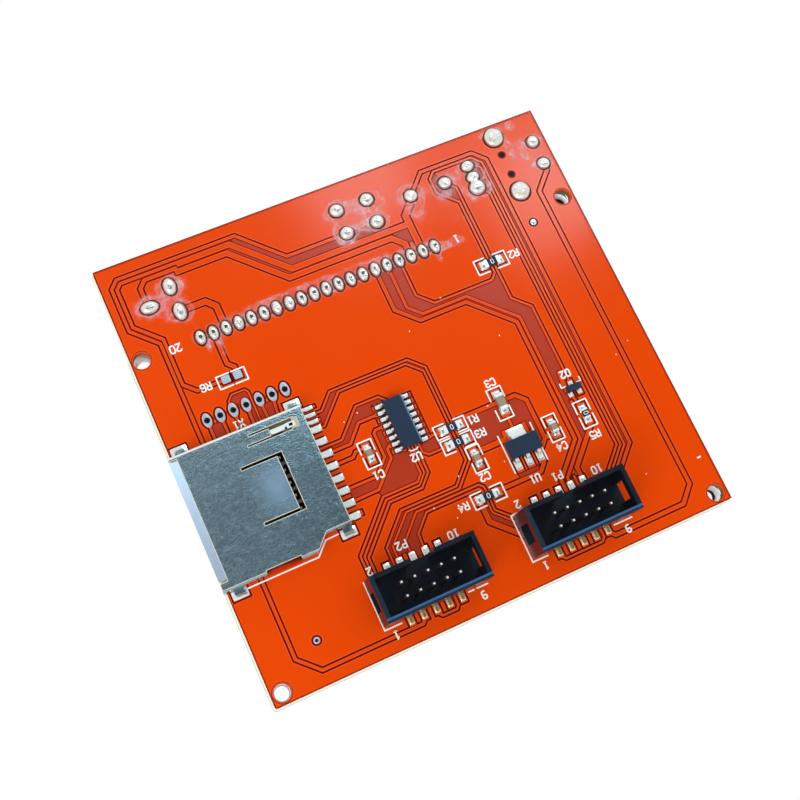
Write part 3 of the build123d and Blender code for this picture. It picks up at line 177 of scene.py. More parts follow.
# %% A finish with colour and surface variation
def finish(name, colour, roughness=0.5, metallic=0.0, vary=0.08, grain=900.0, bump=0.0, bump_scale=2500.0,
           coat=0.0, specular=0.5, alpha=1.0, swirl=False):
    """Principled material; its base colour is colour times (1 - vary ... 1 + vary) by a noise field."""
    material = bpy.data.materials.new(name)
    material.use_nodes = True
    nodes, links = material.node_tree.nodes, material.node_tree.links
    shader = nodes["Principled BSDF"]
    coordinates = nodes.new("ShaderNodeTexCoord")
    noise = nodes.new("ShaderNodeTexNoise")
    noise.inputs["Scale"].default_value = grain
    noise.inputs["Detail"].default_value = 4.0
    links.new(coordinates.outputs["Object"], noise.inputs["Vector"])
    mix = nodes.new("ShaderNodeMix")
    mix.data_type = "RGBA"
    mix.inputs["A"].default_value = [max(0.0, c * (1 - vary)) for c in colour] + [1]
    mix.inputs["B"].default_value = [min(1.0, c * (1 + vary)) for c in colour] + [1]
    links.new(noise.outputs["Fac"], mix.inputs["Factor"])
    links.new(mix.outputs["Result"], shader.inputs["Base Color"])
    spread = nodes.new("ShaderNodeMapRange")
    spread.inputs["To Min"].default_value = roughness * 0.8
    spread.inputs["To Max"].default_value = min(1.0, roughness * 1.2)
    links.new(noise.outputs["Fac"], spread.inputs["Value"])
    links.new(spread.outputs["Result"], shader.inputs["Roughness"])
    shader.inputs["Metallic"].default_value = metallic
    shader.inputs["Specular IOR Level"].default_value = specular
    shader.inputs["Coat Weight"].default_value = coat
    shader.inputs["Coat Roughness"].default_value = 0.08
    shader.inputs["Alpha"].default_value = alpha
    if bump:
        fine = nodes.new("ShaderNodeTexWave" if swirl else "ShaderNodeTexNoise")
        fine.inputs["Scale"].default_value = bump_scale
        fine.inputs["Detail"].default_value = 3.0
        if swirl:
            fine.wave_type = "RINGS"
            fine.inputs["Distortion"].default_value = 16.0
        links.new(coordinates.outputs["Object"], fine.inputs["Vector"])
        relief = nodes.new("ShaderNodeBump")
        relief.inputs["Strength"].default_value = 1.0
        relief.inputs["Distance"].default_value = bump * MM
        links.new(fine.outputs["Fac"], relief.inputs["Height"])
        links.new(relief.outputs["Normal"], shader.inputs["Normal"])
    return material


def srgb(r, g, b):
    """Linear colour from 0-255 screen values: ((c + 0.055) / 1.055) ** 2.4 above 0.04."""
    c = np.array([r, g, b]) / 255
    return tuple(np.where(c <= 0.04045, c / 12.92, ((c + 0.055) / 1.055) ** 2.4))


# %% The finishes of this object
mask_copper = finish("mask_over_copper", srgb(229, 70, 0), 0.13, vary=0.02, grain=60, bump=0.002, bump_scale=700,
                     specular=0.2)
silver = finish("solder", (0.88, 0.87, 0.82), 0.2, 0.8, vary=0.10, grain=2200, bump=0.03, bump_scale=1900)
frosted = finish("frosted_tin", (0.88, 0.88, 0.85), 0.42, 0.55, vary=0.05, grain=900)
lug_tin = finish("lug_tin", (0.88, 0.85, 0.77), 0.24, 0.85, vary=0.1, grain=1100, bump=0.05, bump_scale=900)
# The lip's own tint of the shell steel is a painted reflection colour.
lip_reflection_tint = finish("lip_reflection_tint", srgb(180, 184, 200), 0.3, 1.0, vary=0.04, grain=1600)
tinned = finish("tinned_pins", (0.80, 0.76, 0.66), 0.26, 1.0, vary=0.08, grain=1500, bump=0.004)
shell_steel = finish("shell_steel", srgb(172, 194, 204), 0.27, 1.0, vary=0.03, grain=1600, bump=0.0095,
                     bump_scale=640, swirl=True)
shroud_black = finish("shroud_black", srgb(8, 16, 30), 0.3, vary=0.2, grain=500, bump=0.006, specular=0.5)
# Painted highlights for the shroud rims: a bright blue and a dimmer blue.
shroud_rim_highlight = finish("shroud_rim_highlight", srgb(50, 90, 136), 0.3, vary=0.15, grain=500)
shroud_dim_highlight = finish("shroud_dim_highlight", srgb(22, 38, 54), 0.3, vary=0.15, grain=500)
shade = finish("deep_shade", srgb(16, 12, 8), 0.6, vary=0.1, specular=0.2)
gold = finish("flash_gold", srgb(226, 206, 156), 0.25, 0.8, vary=0.2, grain=1500, bump=0.03, bump_scale=1500)
brown = finish("drilled_laminate", srgb(150, 92, 34), 0.6, vary=0.15, grain=900)
chip_black = finish("chip_black", srgb(26, 42, 66), 0.5, vary=0.15, grain=2500, bump=0.006, specular=0.25)
chip_tan = finish("chip_tan", srgb(150, 132, 112), 0.5, vary=0.1, grain=1800, bump=0.004)
pad_bare = finish("bare_pad", srgb(172, 188, 204), 0.4, 0.3, vary=0.1, grain=1500, bump=0.004)
dark_rim = finish("dark_rim_finish", srgb(58, 28, 26), 0.4, vary=0.25, grain=1500, specular=0.15)
plated = finish("plated_ring", (0.93, 0.94, 0.95), 0.45, 0.3, vary=0.06, grain=900)
# A dark pin metal: painted shade and painted dark reflection.
pin_shade = finish("painted_pin_shade", srgb(96, 92, 80), 0.35, 0.9, vary=0.2, grain=1500)
white_ink = finish("white_ink", srgb(253, 251, 247), 0.55, vary=0.05, grain=2600)
beige = finish("beige_moulding", srgb(206, 190, 150), 0.5, vary=0.06, grain=900)
black_moulding = finish("black_moulding", srgb(26, 26, 28), 0.42, vary=0.12, grain=1400, bump=0.006)
bezel_paint = finish("bezel_paint", srgb(24, 24, 26), 0.4, 0.2, vary=0.12, grain=900, bump=0.008)
blob_epoxy = finish("blob_epoxy", srgb(16, 16, 18), 0.18, vary=0.2, grain=400, coat=0.4)
white_moulding = finish("white_moulding", srgb(226, 226, 220), 0.45, vary=0.04, grain=900)
blue_moulding = finish("blue_moulding", srgb(30, 70, 160), 0.4, vary=0.1, grain=900)
zinc = finish("cast_zinc", (0.66, 0.66, 0.64), 0.38, 1.0, vary=0.08, grain=900, bump=0.01)
turned = finish("turned_metal", (0.74, 0.74, 0.74), 0.25, 1.0, vary=0.06, grain=700, bump=0.003)
spring_metal = finish("spring_metal", (0.80, 0.62, 0.38), 0.3, 1.0, vary=0.06, grain=900)
rubber = finish("elastomer", srgb(205, 120, 140), 0.6, vary=0.06, grain=900)
print("materials:", len(bpy.data.materials))

# %% [markdown]
# ## The two boards
# A board is one plate, but it has two looks: ink or mask on its faces and pale raw laminate on its cut edges.
# One material does both. It reads the true normal of the face: where it points straight up or down the mask
# shows, and elsewhere, the scored edge included, the cream laminate does. That needs no second object and
# keeps the line between them exactly on the CAD edge.


# %% A board material with cut edges
def board_finish(name, face, edge, roughness=0.25):
    """Face colour where |normal z| is above 0.9, edge colour elsewhere."""
    material = finish(name, face, roughness, vary=0.06, grain=160, bump=0.003, bump_scale=1200, specular=0.3)
    nodes, links = material.node_tree.nodes, material.node_tree.links
    shader = nodes["Principled BSDF"]
    old = shader.inputs["Base Color"].links[0].from_socket
    geometry = nodes.new("ShaderNodeNewGeometry")
    split = nodes.new("ShaderNodeSeparateXYZ")
    links.new(geometry.outputs["True Normal"], split.inputs[0])
    size = nodes.new("ShaderNodeMath")
    size.operation = "ABSOLUTE"
    links.new(split.outputs["Z"], size.inputs[0])
    above = nodes.new("ShaderNodeMath")
    above.operation = "GREATER_THAN"
    above.inputs[1].default_value = 0.9
    links.new(size.outputs[0], above.inputs[0])
    mix = nodes.new("ShaderNodeMix")
    mix.data_type = "RGBA"
    mix.inputs["A"].default_value = [*edge, 1]
    links.new(above.outputs[0], mix.inputs["Factor"])
    links.new(old, mix.inputs["B"])
    links.new(mix.outputs["Result"], shader.inputs["Base Color"])
    return material


laminate = srgb(240, 230, 208)
rear_board = board_finish("rear_board", srgb(176, 52, 22), laminate)
front_board = board_finish("front_board", srgb(22, 92, 60), laminate)
for node, material in (("controller_board", rear_board), ("display_board", front_board),
                       ("rear_copper", mask_copper)):
    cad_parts[node].data.materials.clear()
    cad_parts[node].data.materials.append(material)

# %% [markdown]
# ## The mask at the edges of the copper
# Mask runs thin over an etched edge and pools at its foot, and the edge's shoulder catches light while its foot
# lies in shade. So every border of the copper shows as a dark line in the gap and a paler line on the track, and
# that pair is what makes the pattern readable. Both lines are painted: the dark one is painted shade, the pale one a
# painted highlight. Both are strips along the border edges of the foil's flat top, pushed outward or inward by a
# mitred offset worked out in numpy.


# %% Strips along the copper's border
def borders(name, node, width, z, material, level=None, inner=0.0):
    """Strips beside the border edges of a node's upward faces at a level; offset = w (n1 + n2) / (1 + n1 . n2)."""
    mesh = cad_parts[node].data
    points = np.zeros(len(mesh.vertices) * 3)
    mesh.vertices.foreach_get("co", points)
    loops = np.zeros(len(mesh.loops), int)
    mesh.loops.foreach_get("vertex_index", loops)
    keys, same = np.unique(np.round(points.reshape(-1, 3) / MM, 3), axis=0, return_inverse=True)
    corner = same.ravel()[loops].reshape(-1, 3)
    a, b, c = (keys[corner[:, k]] for k in range(3))
    level = keys[:, 2].max() if level is None else level
    up = (np.cross(b - a, c - a)[:, 2] > 1e-9) & (np.abs(a[:, 2] - level) < 0.002)
    up &= (np.abs(b[:, 2] - a[:, 2]) < 0.002) & (np.abs(c[:, 2] - a[:, 2]) < 0.002)
    edges = np.concatenate([corner[up][:, [0, 1]], corner[up][:, [1, 2]], corner[up][:, [2, 0]]])
    code = edges[:, 0] * len(keys) + edges[:, 1]
    back = edges[:, 1] * len(keys) + edges[:, 0]
    edges = edges[~np.isin(code, back)]
    flat = keys[:, :2]
    along = flat[edges[:, 1]] - flat[edges[:, 0]]
    along /= np.maximum(np.linalg.norm(along, axis=1, keepdims=True), 1e-9)
    out = np.stack([along[:, 1], -along[:, 0]], -1)
    total, square = np.zeros_like(flat), np.zeros(len(flat))
    for column in (0, 1):
        np.add.at(total, edges[:, column], out)
    square = (total ** 2).sum(1)
    shift = total * 2 / np.maximum(square, 0.9)[:, None] * width
    low, high = edges[:, 0], edges[:, 1]
    first = flat + shift * inner
    quads = np.stack([first[low], first[high], flat[high] + shift[high], flat[low] + shift[low]], 1)
    if width > 0:
        quads = quads[:, ::-1]
    flat_points = quads.reshape(-1, 2)
    made_points = np.concatenate([flat_points, np.full((len(flat_points), 1), z)], -1)
    return add_mesh(name, made_points, np.arange(len(flat_points)).reshape(-1, 4), material, smooth=False)


# Painted shade in the gaps and along the copper's edges, and a painted highlight along the tracks' shoulders.
edge_shade = finish("painted_edge_shade", srgb(142, 24, 2), 0.25, vary=0.05, grain=300, specular=0.08)
mask_edge_highlight = finish("mask_edge_highlight", srgb(235, 90, 32), 0.2, vary=0.04, grain=300, specular=0.5)
made = borders("gap_edge_shade", "rear_copper", 0.2, 0.004, edge_shade)
borders("track_edge_shade", "rear_copper", -0.03, FOIL + 0.0015, edge_shade)
borders("track_edge_highlight", "rear_copper", -0.15, FOIL + 0.0015, mask_edge_highlight, inner=0.2)
print("border strips:", len(made.data.polygons))

# %% [markdown]
# ## Solder joints
# Molten solder wets the pin and the land, so a joint is a small hill: steep near the pin, flat at its foot,
# with a rounded crown and the pin's end just showing. The CAD has plain cones. Here each hill is a grid of
# rings and spokes whose height follows a power curve, and random numbers make every joint a little different.


# %% Solder hills
def hills(name, joints, node=None, rings=15, spokes=36, lean=0.07):
    """Joints as (x, y, size x, size y, height); height falls as (1 - r ** 3) ** 0.6 from crown to foot."""
    r = np.sin(np.linspace(0, np.pi / 2, rings))[:, None]
    a = np.linspace(0, 2 * np.pi, spokes, endpoint=False)[None, :]
    points, faces = [], []
    k, s = np.meshgrid(np.arange(rings - 1), np.arange(spokes), indexing="ij")
    ring_faces = np.stack([k * spokes + s, (k + 1) * spokes + s, (k + 1) * spokes + (s + 1) % spokes,
                           k * spokes + (s + 1) % spokes], -1).reshape(-1, 4)
    for number, (x, y, sx, sy, height) in enumerate(joints):
        wob = 1 + 0.02 * np.sin(2 * a + rng.uniform(0, 6)) + 0.012 * np.sin(5 * a + rng.uniform(0, 6))
        tall = height * rng.uniform(0.9, 1.1)
        lx, ly = rng.normal(0, lean, 2)
        z = tall * np.clip(1 - r ** 3, 0, 1) ** (0.4 if sx > 3.8 else 0.6)
        px = x + sx / 2 * r * wob * np.cos(a) + lx * z / tall
        py = y + sy / 2 * r * wob * np.sin(a) + ly * z / tall
        dent = 0.05 * np.sin(3 * a + rng.uniform(0, 6)) * r * (1 - r)
        dent = dent + 0.03 * np.sin(2 * a + rng.uniform(0, 6)) * np.sin(3 * np.pi * r)
        dent = dent + (0.13 if sx > 3.8 else 0) * np.sin(7 * a + rng.uniform(0, 6)) * np.sin(np.pi * r)
        pz = FOIL + z + dent * (1 - r ** 6)
        points.append(np.stack([px, py, np.broadcast_to(pz, px.shape)], -1).reshape(-1, 3))
        faces.append(ring_faces + number * rings * spokes)
    obj = add_mesh(name, np.concatenate(points), np.concatenate(faces), silver)
    if node:
        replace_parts(obj, node)
    return obj


def ovals(name, places, material, z, corners=36):
    """Flat ovals given as (x, y, size x, size y), all at one height."""
    angle = np.linspace(0, 2 * np.pi, corners, endpoint=False)
    rim = np.stack([np.cos(angle), np.sin(angle)], -1) / 2
    places = np.array(places, float)
    points = places[:, None, :2] + places[:, None, 2:4] * rim[None]
    points = np.concatenate([points, np.full((*points.shape[:2], 1), z)], -1).reshape(-1, 3)
    faces = np.arange(len(points)).reshape(-1, corners)
    return add_mesh(name, points, faces, material, smooth=False)


def centres(node, height):
    """One joint per solid of a CAD node, as wide as that solid."""
    return [(*((lo + hi) / 2)[:2], *(hi - lo)[:2], height) for lo, hi in solids(node)]


seats = []
for node, height in (("header_joints", 1.0), ("encoder_joints", 0.95), ("buzzer_joints", 1.0),
                     ("button_joints", 0.95), ("trimmer_joints", 0.95)):
    joints = centres(node, height)
    joints = [(x, y, sx, sy, 1.2 if sx > 3.8 else tall) for x, y, sx, sy, tall in joints]
    if node == "encoder_joints":
        joints += [(28.95, 41.6, 1.9, 2.2, 0.8), (28.95, 40.6, 3.4, 3.2, 1.1)]
    made = hills(node + "_hills", joints, node)
    for x, y, sx, sy, tall in joints:
        if sx > 3.8:
            repaint(made, lug_tin, (x - 2.4, y - 2.4, -1), (x + 2.4, y + 2.4, 9))
    seats += [(x, y, sx + (0.42 if sx < 3.8 else 0.3), sy + (0.42 if sx < 3.8 else 0.3)) for x, y, sx, sy, tall in joints]
    print(made.name, len(made.data.polygons), "faces")
# Dark rings round the foot of each joint.
ovals("joint_dark_rings", seats, dark_rim, FOIL + 0.011)

# %% [markdown]
# ## Lands and fillets of the surface parts
# Every surface-mounted lead stands in a thin pillow of tin on its pad. The pads are found from the frame: each
# lead is one solid of its node, so its outer end tells where the pad is, and no list of places is typed twice.
# A pillow is a grid whose height is (1 - u^4)(1 - v^4), nearly flat with soft shoulders.


# %% Tin pillows
def pillows(name, pads, material=silver, count=9):
    """Pads as (x, y, size x, size y, height above the foil)."""
    u, v = np.meshgrid(np.linspace(-1, 1, count), np.linspace(-1, 1, count), indexing="ij")
    i, j = np.meshgrid(np.arange(count - 1), np.arange(count - 1), indexing="ij")
    quad = np.stack([i * count + j, (i + 1) * count + j, (i + 1) * count + j + 1, i * count + j + 1], -1)
    pads = np.array(pads, float)
    x = pads[:, 0, None, None] + pads[:, 2, None, None] / 2 * u * (1 - 0.06 * v ** 4)
    y = pads[:, 1, None, None] + pads[:, 3, None, None] / 2 * v * (1 - 0.06 * u ** 4)
    z = FOIL + 0.002 + pads[:, 4, None, None] * (1 - u ** 4) * (1 - v ** 4)
    points = np.stack([x, y, z], -1).reshape(-1, 3)
    faces = (quad.reshape(1, -1, 4) + np.arange(len(pads))[:, None, None] * count ** 2).reshape(-1, 4)
    return add_mesh(name, points, faces, material)


def feet(node, middle, out, width, reach):
    """Pad places under the outer ends of leads: out is the axis, 0 for x and 1 for y, that the leads leave by."""
    pads = []
    for lo, hi in solids(node):
        centre = (lo + hi) / 2
        side = 1 if centre[out] > middle[out] else -1
        end = hi[out] if side > 0 else lo[out]
        place = centre[:2].copy()
        place[out] = end - side * reach * 0.32
        size = np.array([0.0, 0.0])
        size[out] = reach
        size[1 - out] = (hi - lo)[1 - out] + width
        pads.append((*place, *size, 0.11))
    return pads


pads = feet("shifter_leads", (-4.87, 3.05), 0, 0.32, 1.45)
# Painted shadow: dark rims between and round the level shifter's leads.
ovals("lead_shadow_rims", [(x, y, sx + 0.6, sy + 0.62) for x, y, sx, sy, tall in pads], dark_rim, FOIL + 0.0025)
pads += feet("regulator_leads", (14.1, -9.9), 1, 0.55, 2.2)
pads += feet("transistor_leads", (28.05, -3.6), 1, 0.5, 1.0)
pads += feet("socket_contacts", (-30.0, 0.0), 0, 0.15, 1.7)
box_pads = feet("expansion_one_pins", (16.7, -25.4), 1, 0.55, 2.0)
box_pads += feet("expansion_two_pins", (-13.3, -25.4), 1, 0.55, 2.0)
pads += [pad for pad in box_pads if pad[1] > -25]
pillows("gilded_pads", [(x, y, 1.0, 1.7, 0.16) for x, y, sx, sy, tall in box_pads if y < -25], gold)
pads += [(-44.15, 14.0, 3.1, 1.9, 0.2), (-22.1, 14.0, 3.1, 1.9, 0.2), (-44.0, -13.9, 3.0, 1.7, 0.2),
         (-22.1, -11.7, 3.0, 1.8, 0.2)]
pillows("tin_pads", pads)
print("tin pads:", len(pads))

# %% [markdown]
# ## Chip parts
# A chip resistor or capacitor is a ceramic block whose two ends are dipped in silver, with solder climbing
# them. Three simple meshes per family say that: blocks, end caps and wedges of solder. All are placed from the
# CAD boxes, so they follow any change of the frame.


# %% Boxes with bevelled edges
def boxes(name, corners, material, bevel=0.05, body="root"):
    """One mesh of axis-aligned boxes, given as pairs of low and high corners in millimetres."""
    low = np.array([c[0] for c in corners], float)
    high = np.array([c[1] for c in corners], float)
    pick = np.array([[(n >> k) & 1 for k in range(3)] for n in range(8)])
    points = np.where(pick[None] == 1, high[:, None], low[:, None]).reshape(-1, 3)
    sides = np.array([[0, 2, 3, 1], [4, 5, 7, 6], [0, 1, 5, 4], [2, 6, 7, 3], [0, 4, 6, 2], [1, 3, 7, 5]])
    faces = (sides[None] + 8 * np.arange(len(low))[:, None, None]).reshape(-1, 4)
    obj = add_mesh(name, points, faces, material, body)
    if bevel:
        add_bevel(obj, bevel)
    return obj


chips = [n for n in sorted(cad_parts) if n.startswith(("resistor", "capacitor"))]
caps, chip_pads, marks = [], [], []
for node in chips:
    low, high = [np.array(corner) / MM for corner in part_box(node)]
    long_axis = 0 if high[0] - low[0] > high[1] - low[1] else 1
    across = 1 - long_axis
    cut = 0.2 * (high[long_axis] - low[long_axis])
    block_low, block_high = low.copy(), high.copy()
    block_low[long_axis] += cut
    block_high[long_axis] -= cut
    block_low[across] += 0.02
    block_high[across] -= 0.02
    block_high[2] -= 0.02
    dark = node.startswith("resistor")
    block = boxes(node + "_block", [(block_low, block_high)], chip_black if dark else chip_tan, 0.06)
    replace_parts(block, node)
    for side in (-1, 1):
        cap_low, cap_high = low.copy(), high.copy()
        if side < 0:
            cap_high[long_axis] = low[long_axis] + cut * 1.02
        else:
            cap_low[long_axis] = high[long_axis] - cut * 1.02
        caps.append((cap_low, cap_high))
        edge = (high if side > 0 else low)[long_axis]
        place = ((low + high) / 2)[:2]
        place[long_axis] = edge + side * 0.12
        size = [0.0, 0.0]
        size[long_axis] = 1.5
        size[across] = high[across] - low[across] + 0.22
        chip_pads.append((*place, *size, 0.42 * (high[2] - low[2]) + 0.1))
    if dark:
        marks.append(((low + high) / 2, high[2] - 0.015, long_axis))
boxes("chip_caps", caps, frosted, 0.07)
pillows("chip_fillets", chip_pads)
print("chip parts:", len(chips))

# %% [markdown]
# ## White ink
# The board's legend is screen-printed: strokes of one width with round ends. So the letters here are not a
# typeface but short lists of points on a 4 by 6 grid, drawn with the same pen as the part outlines. The pen is
# one function that turns polylines into flat strips with a disc at each point. Real wording is left off, and
# the numbers are generic.

# %% The pen and its letters
LETTERS = {
    "0": "103041453616050110", "1": "152620 1030", "2": "05163645440040", "3": "05163645443313 334241301001",
    "4": "30360242", "5": "460604344341301001", "9": "10304145361605041343", "C": "4536160501103041",
    "R": "00063645443303 2340", "U": "060110304146", "Q": "103041453616050110 3240", "P": "00063645443303",
    "6": "453616050110304142332303", "S": "453616050413334241301001", "E": "46060040 0333", "X": "0046 0640",
}


def pen(name, lines, width, z, material=white_ink, corners=10):
    """Flat strips of that width along each line of points, with a round end and joint at every point."""
    start = np.array([p for line in lines for p in line[:-1]], float)
    end = np.array([p for line in lines for p in line[1:]], float)
    along = end - start
    along /= np.maximum(np.linalg.norm(along, axis=1, keepdims=True), 1e-9)
    side = np.stack([-along[:, 1], along[:, 0]], -1) * width / 2
    quads = np.stack([start + side, start - side, end - side, end + side], 1)
    points = np.concatenate([quads, np.full((*quads.shape[:2], 1), z)], -1).reshape(-1, 3)
    quad_faces = np.arange(len(points)).reshape(-1, 4).tolist()
    dots = np.unique(np.array([p for line in lines for p in line], float), axis=0)
    angle = np.linspace(0, 2 * np.pi, corners, endpoint=False)
    discs = dots[:, None] + width / 2 * np.stack([np.cos(angle), np.sin(angle)], -1)[None]
    discs = np.concatenate([discs, np.full((*discs.shape[:2], 1), z + 0.001)], -1).reshape(-1, 3)
    disc_faces = (len(points) + np.arange(len(discs)).reshape(-1, corners)).tolist()
    mesh_points = np.concatenate([points, discs])
    mesh = bpy.data.meshes.new(name)
    mesh.from_pydata((mesh_points * MM).tolist(), [], quad_faces + disc_faces)
    mesh.materials.append(material)
    obj = bpy.data.objects.new(name, mesh)
    bpy.context.scene.collection.objects.link(obj)
    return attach(obj, "root")


def word(text, x, y, height, turn=180):
    """Lines of a word centred on (x, y), turned by so many degrees; each letter is 4 units wide of 6 high."""
    unit = height / 6
    c, s = math.cos(math.radians(turn)), math.sin(math.radians(turn))
    lines = []
    for number, letter in enumerate(text):
        left = (number - (len(text) - 1) / 2) * 5.8 - 2
        for stroke in LETTERS[letter].split():
            flat = [((left + int(stroke[k])) * unit * 0.86, (int(stroke[k + 1]) - 3) * unit)
                    for k in range(0, len(stroke), 2)]
            lines.append([(x + c * u - s * v, y + s * u + c * v) for u, v in flat])
    return lines


# %% The legend
legend = [("C1", -12.8, -4.2), ("U2", -5.0, -3.9), ("R1", 7.7, -1.6), ("R3", 7.9, -4.5), ("C2", 5.1, -12.3),
          ("C3", 13.8, 3.5), ("U1", 13.6, -16.4), ("C4", 21.0, -12.9), ("Q2", 27.9, -0.5), ("R5", 27.9, -13.3),
          ("R4", -1.0, -15.9), ("R2", 29.5, 25.3), ("R6", -35.2, 23.3), ("X1", -32.4, 14.5),
          ("2", -21.6, -19.6), ("10", -4.9, -19.6), ("1", -21.8, -31.75), ("9", -4.4, -31.75),
          ("P2", -14.4, -17.6), ("2", 8.4, -19.4), ("10", 25.1, -19.4), ("1", 8.25, -31.6), ("9", 25.5, -31.75),
          ("P1", 17.6, -17.6)]
ink = []
for text, x, y in legend:
    ink += word(text, x, y, 1.35)
ink += word("20", -37.5, 32.3, 1.45) + word("1", 20.4, 32.3, 1.45)
pen("legend", ink, 0.29, 0.062)
print("legend strokes:", len(ink))


# %% Outlines of the footprints
def halves(left, low, right, high, gap, upright):
    """Two facing U shapes round a chip, open over the gap in the middle of its long sides."""
    if upright:
        return [[(left, gap[1]), (left, high), (right, high), (right, gap[1])],
                [(left, gap[0]), (left, low), (right, low), (right, gap[0])]]
    return [[(gap[0], low), (left, low), (left, high), (gap[0], high)],
            [(gap[1], low), (right, low), (right, high), (gap[1], high)]]


outline = halves(-14.2, -2.6, -11.45, 2.6, (-0.3, 0.4), True) + halves(0.0, -2.75, 6.3, -0.15, (2.2, 4.2), False)
outline += halves(0.1, -5.9, 6.4, -3.2, (2.2, 4.2), False) + halves(3.9, -11.2, 6.55, -6.15, (-9.2, -8.3), True)
outline += halves(12.35, -4.0, 15.25, 2.35, (-1.8, 0.1), True) + halves(19.7, -11.6, 22.35, -6.5, (-9.4, -8.5), True)
outline += halves(26.5, -11.7, 29.3, -6.35, (-9.4, -8.6), True) + halves(0.9, -17.35, 7.3, -14.45, (3.1, 5.0), False)
outline += halves(21.35, 23.7, 27.9, 26.7, (23.6, 25.5), False)
outline += halves(-32.9, 21.8, -27.4, 24.3, (-30.4, -29.9), False)
outline += [[(10.6, -6.4), (10.6, -14.0)], [(17.4, -6.4), (17.4, -14.0)], [(26.0, -2.0), (26.0, -2.8), (26.8, -2.8)],
            [(30.1, -2.0), (30.1, -2.8), (29.3, -2.8)],
            [(-42.4, -13.6), (-28.8, -13.6), (-26.5, -11.3), (-24.0, -11.2)],
            [(-23.4, -21.0), (-23.4, -30.2), (-20.1, -30.2)], [(-6.8, -30.15), (-5.7, -30.15)],
            [(-5.1, -30.15), (-3.0, -30.15)], [(9.0, -20.4), (7.9, -20.8), (6.3, -20.9), (6.3, -30.1), (9.4, -30.1)],
            [(23.3, -30.1), (27.0, -30.1)], [(-5.7, -2.3), (-5.3, -2.55), (-4.4, -2.55), (-4.0, -2.3)]]
pen("outlines", outline, 0.27, 0.064)
zeros = [line for middle, z, axis in marks for line in word("0", middle[0], middle[1], 0.85, 180 - 90 * axis)]
pen("resistor_marks", zeros, 0.12, max(z for middle, z, axis in marks) + 0.02)
print("outlines:", len(outline))

# %% [markdown]
# ## Card socket, headers and chips
# These are all moulded or pressed parts whose CAD shape is already right. They get a bevelled copy: a fine
# one on the pressed shell and the leads, a wider one on mouldings. The shell's swirl is a bump with a long
# wavelength, because stamped steel is never quite flat.

# %% Bevelled copies
shell = dressed("socket_shell", shell_steel, 0.06, sharp=14)
# The flared lip gets its own tint of the steel: a painted reflection colour.
repaint(shell, lip_reflection_tint, (-46.8, -11.7, 2.7), (-45.2, 12.6, 3.5))
# A painted highlight along the fold at the shell's far edge.
fold_highlight = finish("shell_fold_highlight", srgb(238, 240, 242), 0.4, 0.2, vary=0.06, grain=900)
repaint(shell, fold_highlight, (-46.8, 12.66, 2.5), (-21.0, 13.05, 2.9))
# Painted shade: dark boxes under the latch's slots.
boxes("lock_slot_shade", [((-32.0, 10.95, 2.3), (-28.2, 11.45, 2.5)), ((-32.8, 9.15, 2.3), (-26.0, 9.65, 2.5))], shade, 0)
# Pale strips round the edges of the shell's top and its slots are painted highlights on its rounded edges.
rim_highlight = finish("painted_rim_highlight", srgb(232, 228, 214), 0.35, 0.3, vary=0.08, grain=900)
SHELL = 2.8
borders("shell_rim_highlights", "socket_shell", -0.13, SHELL + 0.004, rim_highlight, level=SHELL)
dressed("socket_base", beige, 0.05)
dressed("socket_contacts", frosted, 0.04)
# The base's dividing webs seen through the slot, in the beige moulding darkened by painted shade.
shaded_web = finish("slot_web_in_shade", srgb(96, 92, 74), 0.5, vary=0.2, grain=1500)
contact_ys = [8.1 - 2.5 * step for step in range(8)]
# A dark box under the contact slot is painted shade inside the socket.
boxes("slot_shadow_box", [((-36.2, -5.6, 0.56), (-26.6, 7.4, 0.9))], shade, 0)
# A box in a darkened mask colour fills the notch in the shell's near wall: the mask in painted shade.
notch_shaded_mask = finish("notch_mask_in_shade", srgb(186, 48, 8), 0.5, vary=0.2, grain=700, specular=0.1)
boxes("notch_shade_box", [((-38.35, -12.97, 0.1), (-31.85, -12.3, 1.3))], notch_shaded_mask, 0)
boxes("lock_tongue", [((-28.0, 9.75, 2.5), (-25.3, 10.7, 2.63)), ((-25.3, 10.2, 2.5), (-24.9, 10.7, 2.63)),
                      ((-24.9, 9.7, 2.5), (-23.2, 10.8, 2.63))], frosted, 0.06)
boxes("lock_shade", [((-24.4, 10.0, 2.6), (-23.7, 10.5, 2.64)), ((-25.3, 9.7, 2.5), (-24.92, 10.18, 2.56)),
                     ((-23.2, 9.6, 2.3), (-22.75, 11.0, 2.5))], shade, 0)
boxes("slot_webs", [((-28.7, y + 0.93, 1.0), (-27.3, y + 1.57, 1.5)) for y in contact_ys[1:6]], shaded_web, 0.04)
boxes("slot_springs", [((-28.6, y - 0.22, 1.0), (-28.05, y + 0.22, 1.7)) for y in contact_ys[1:6]], gold, 0.08)
far = 99.0
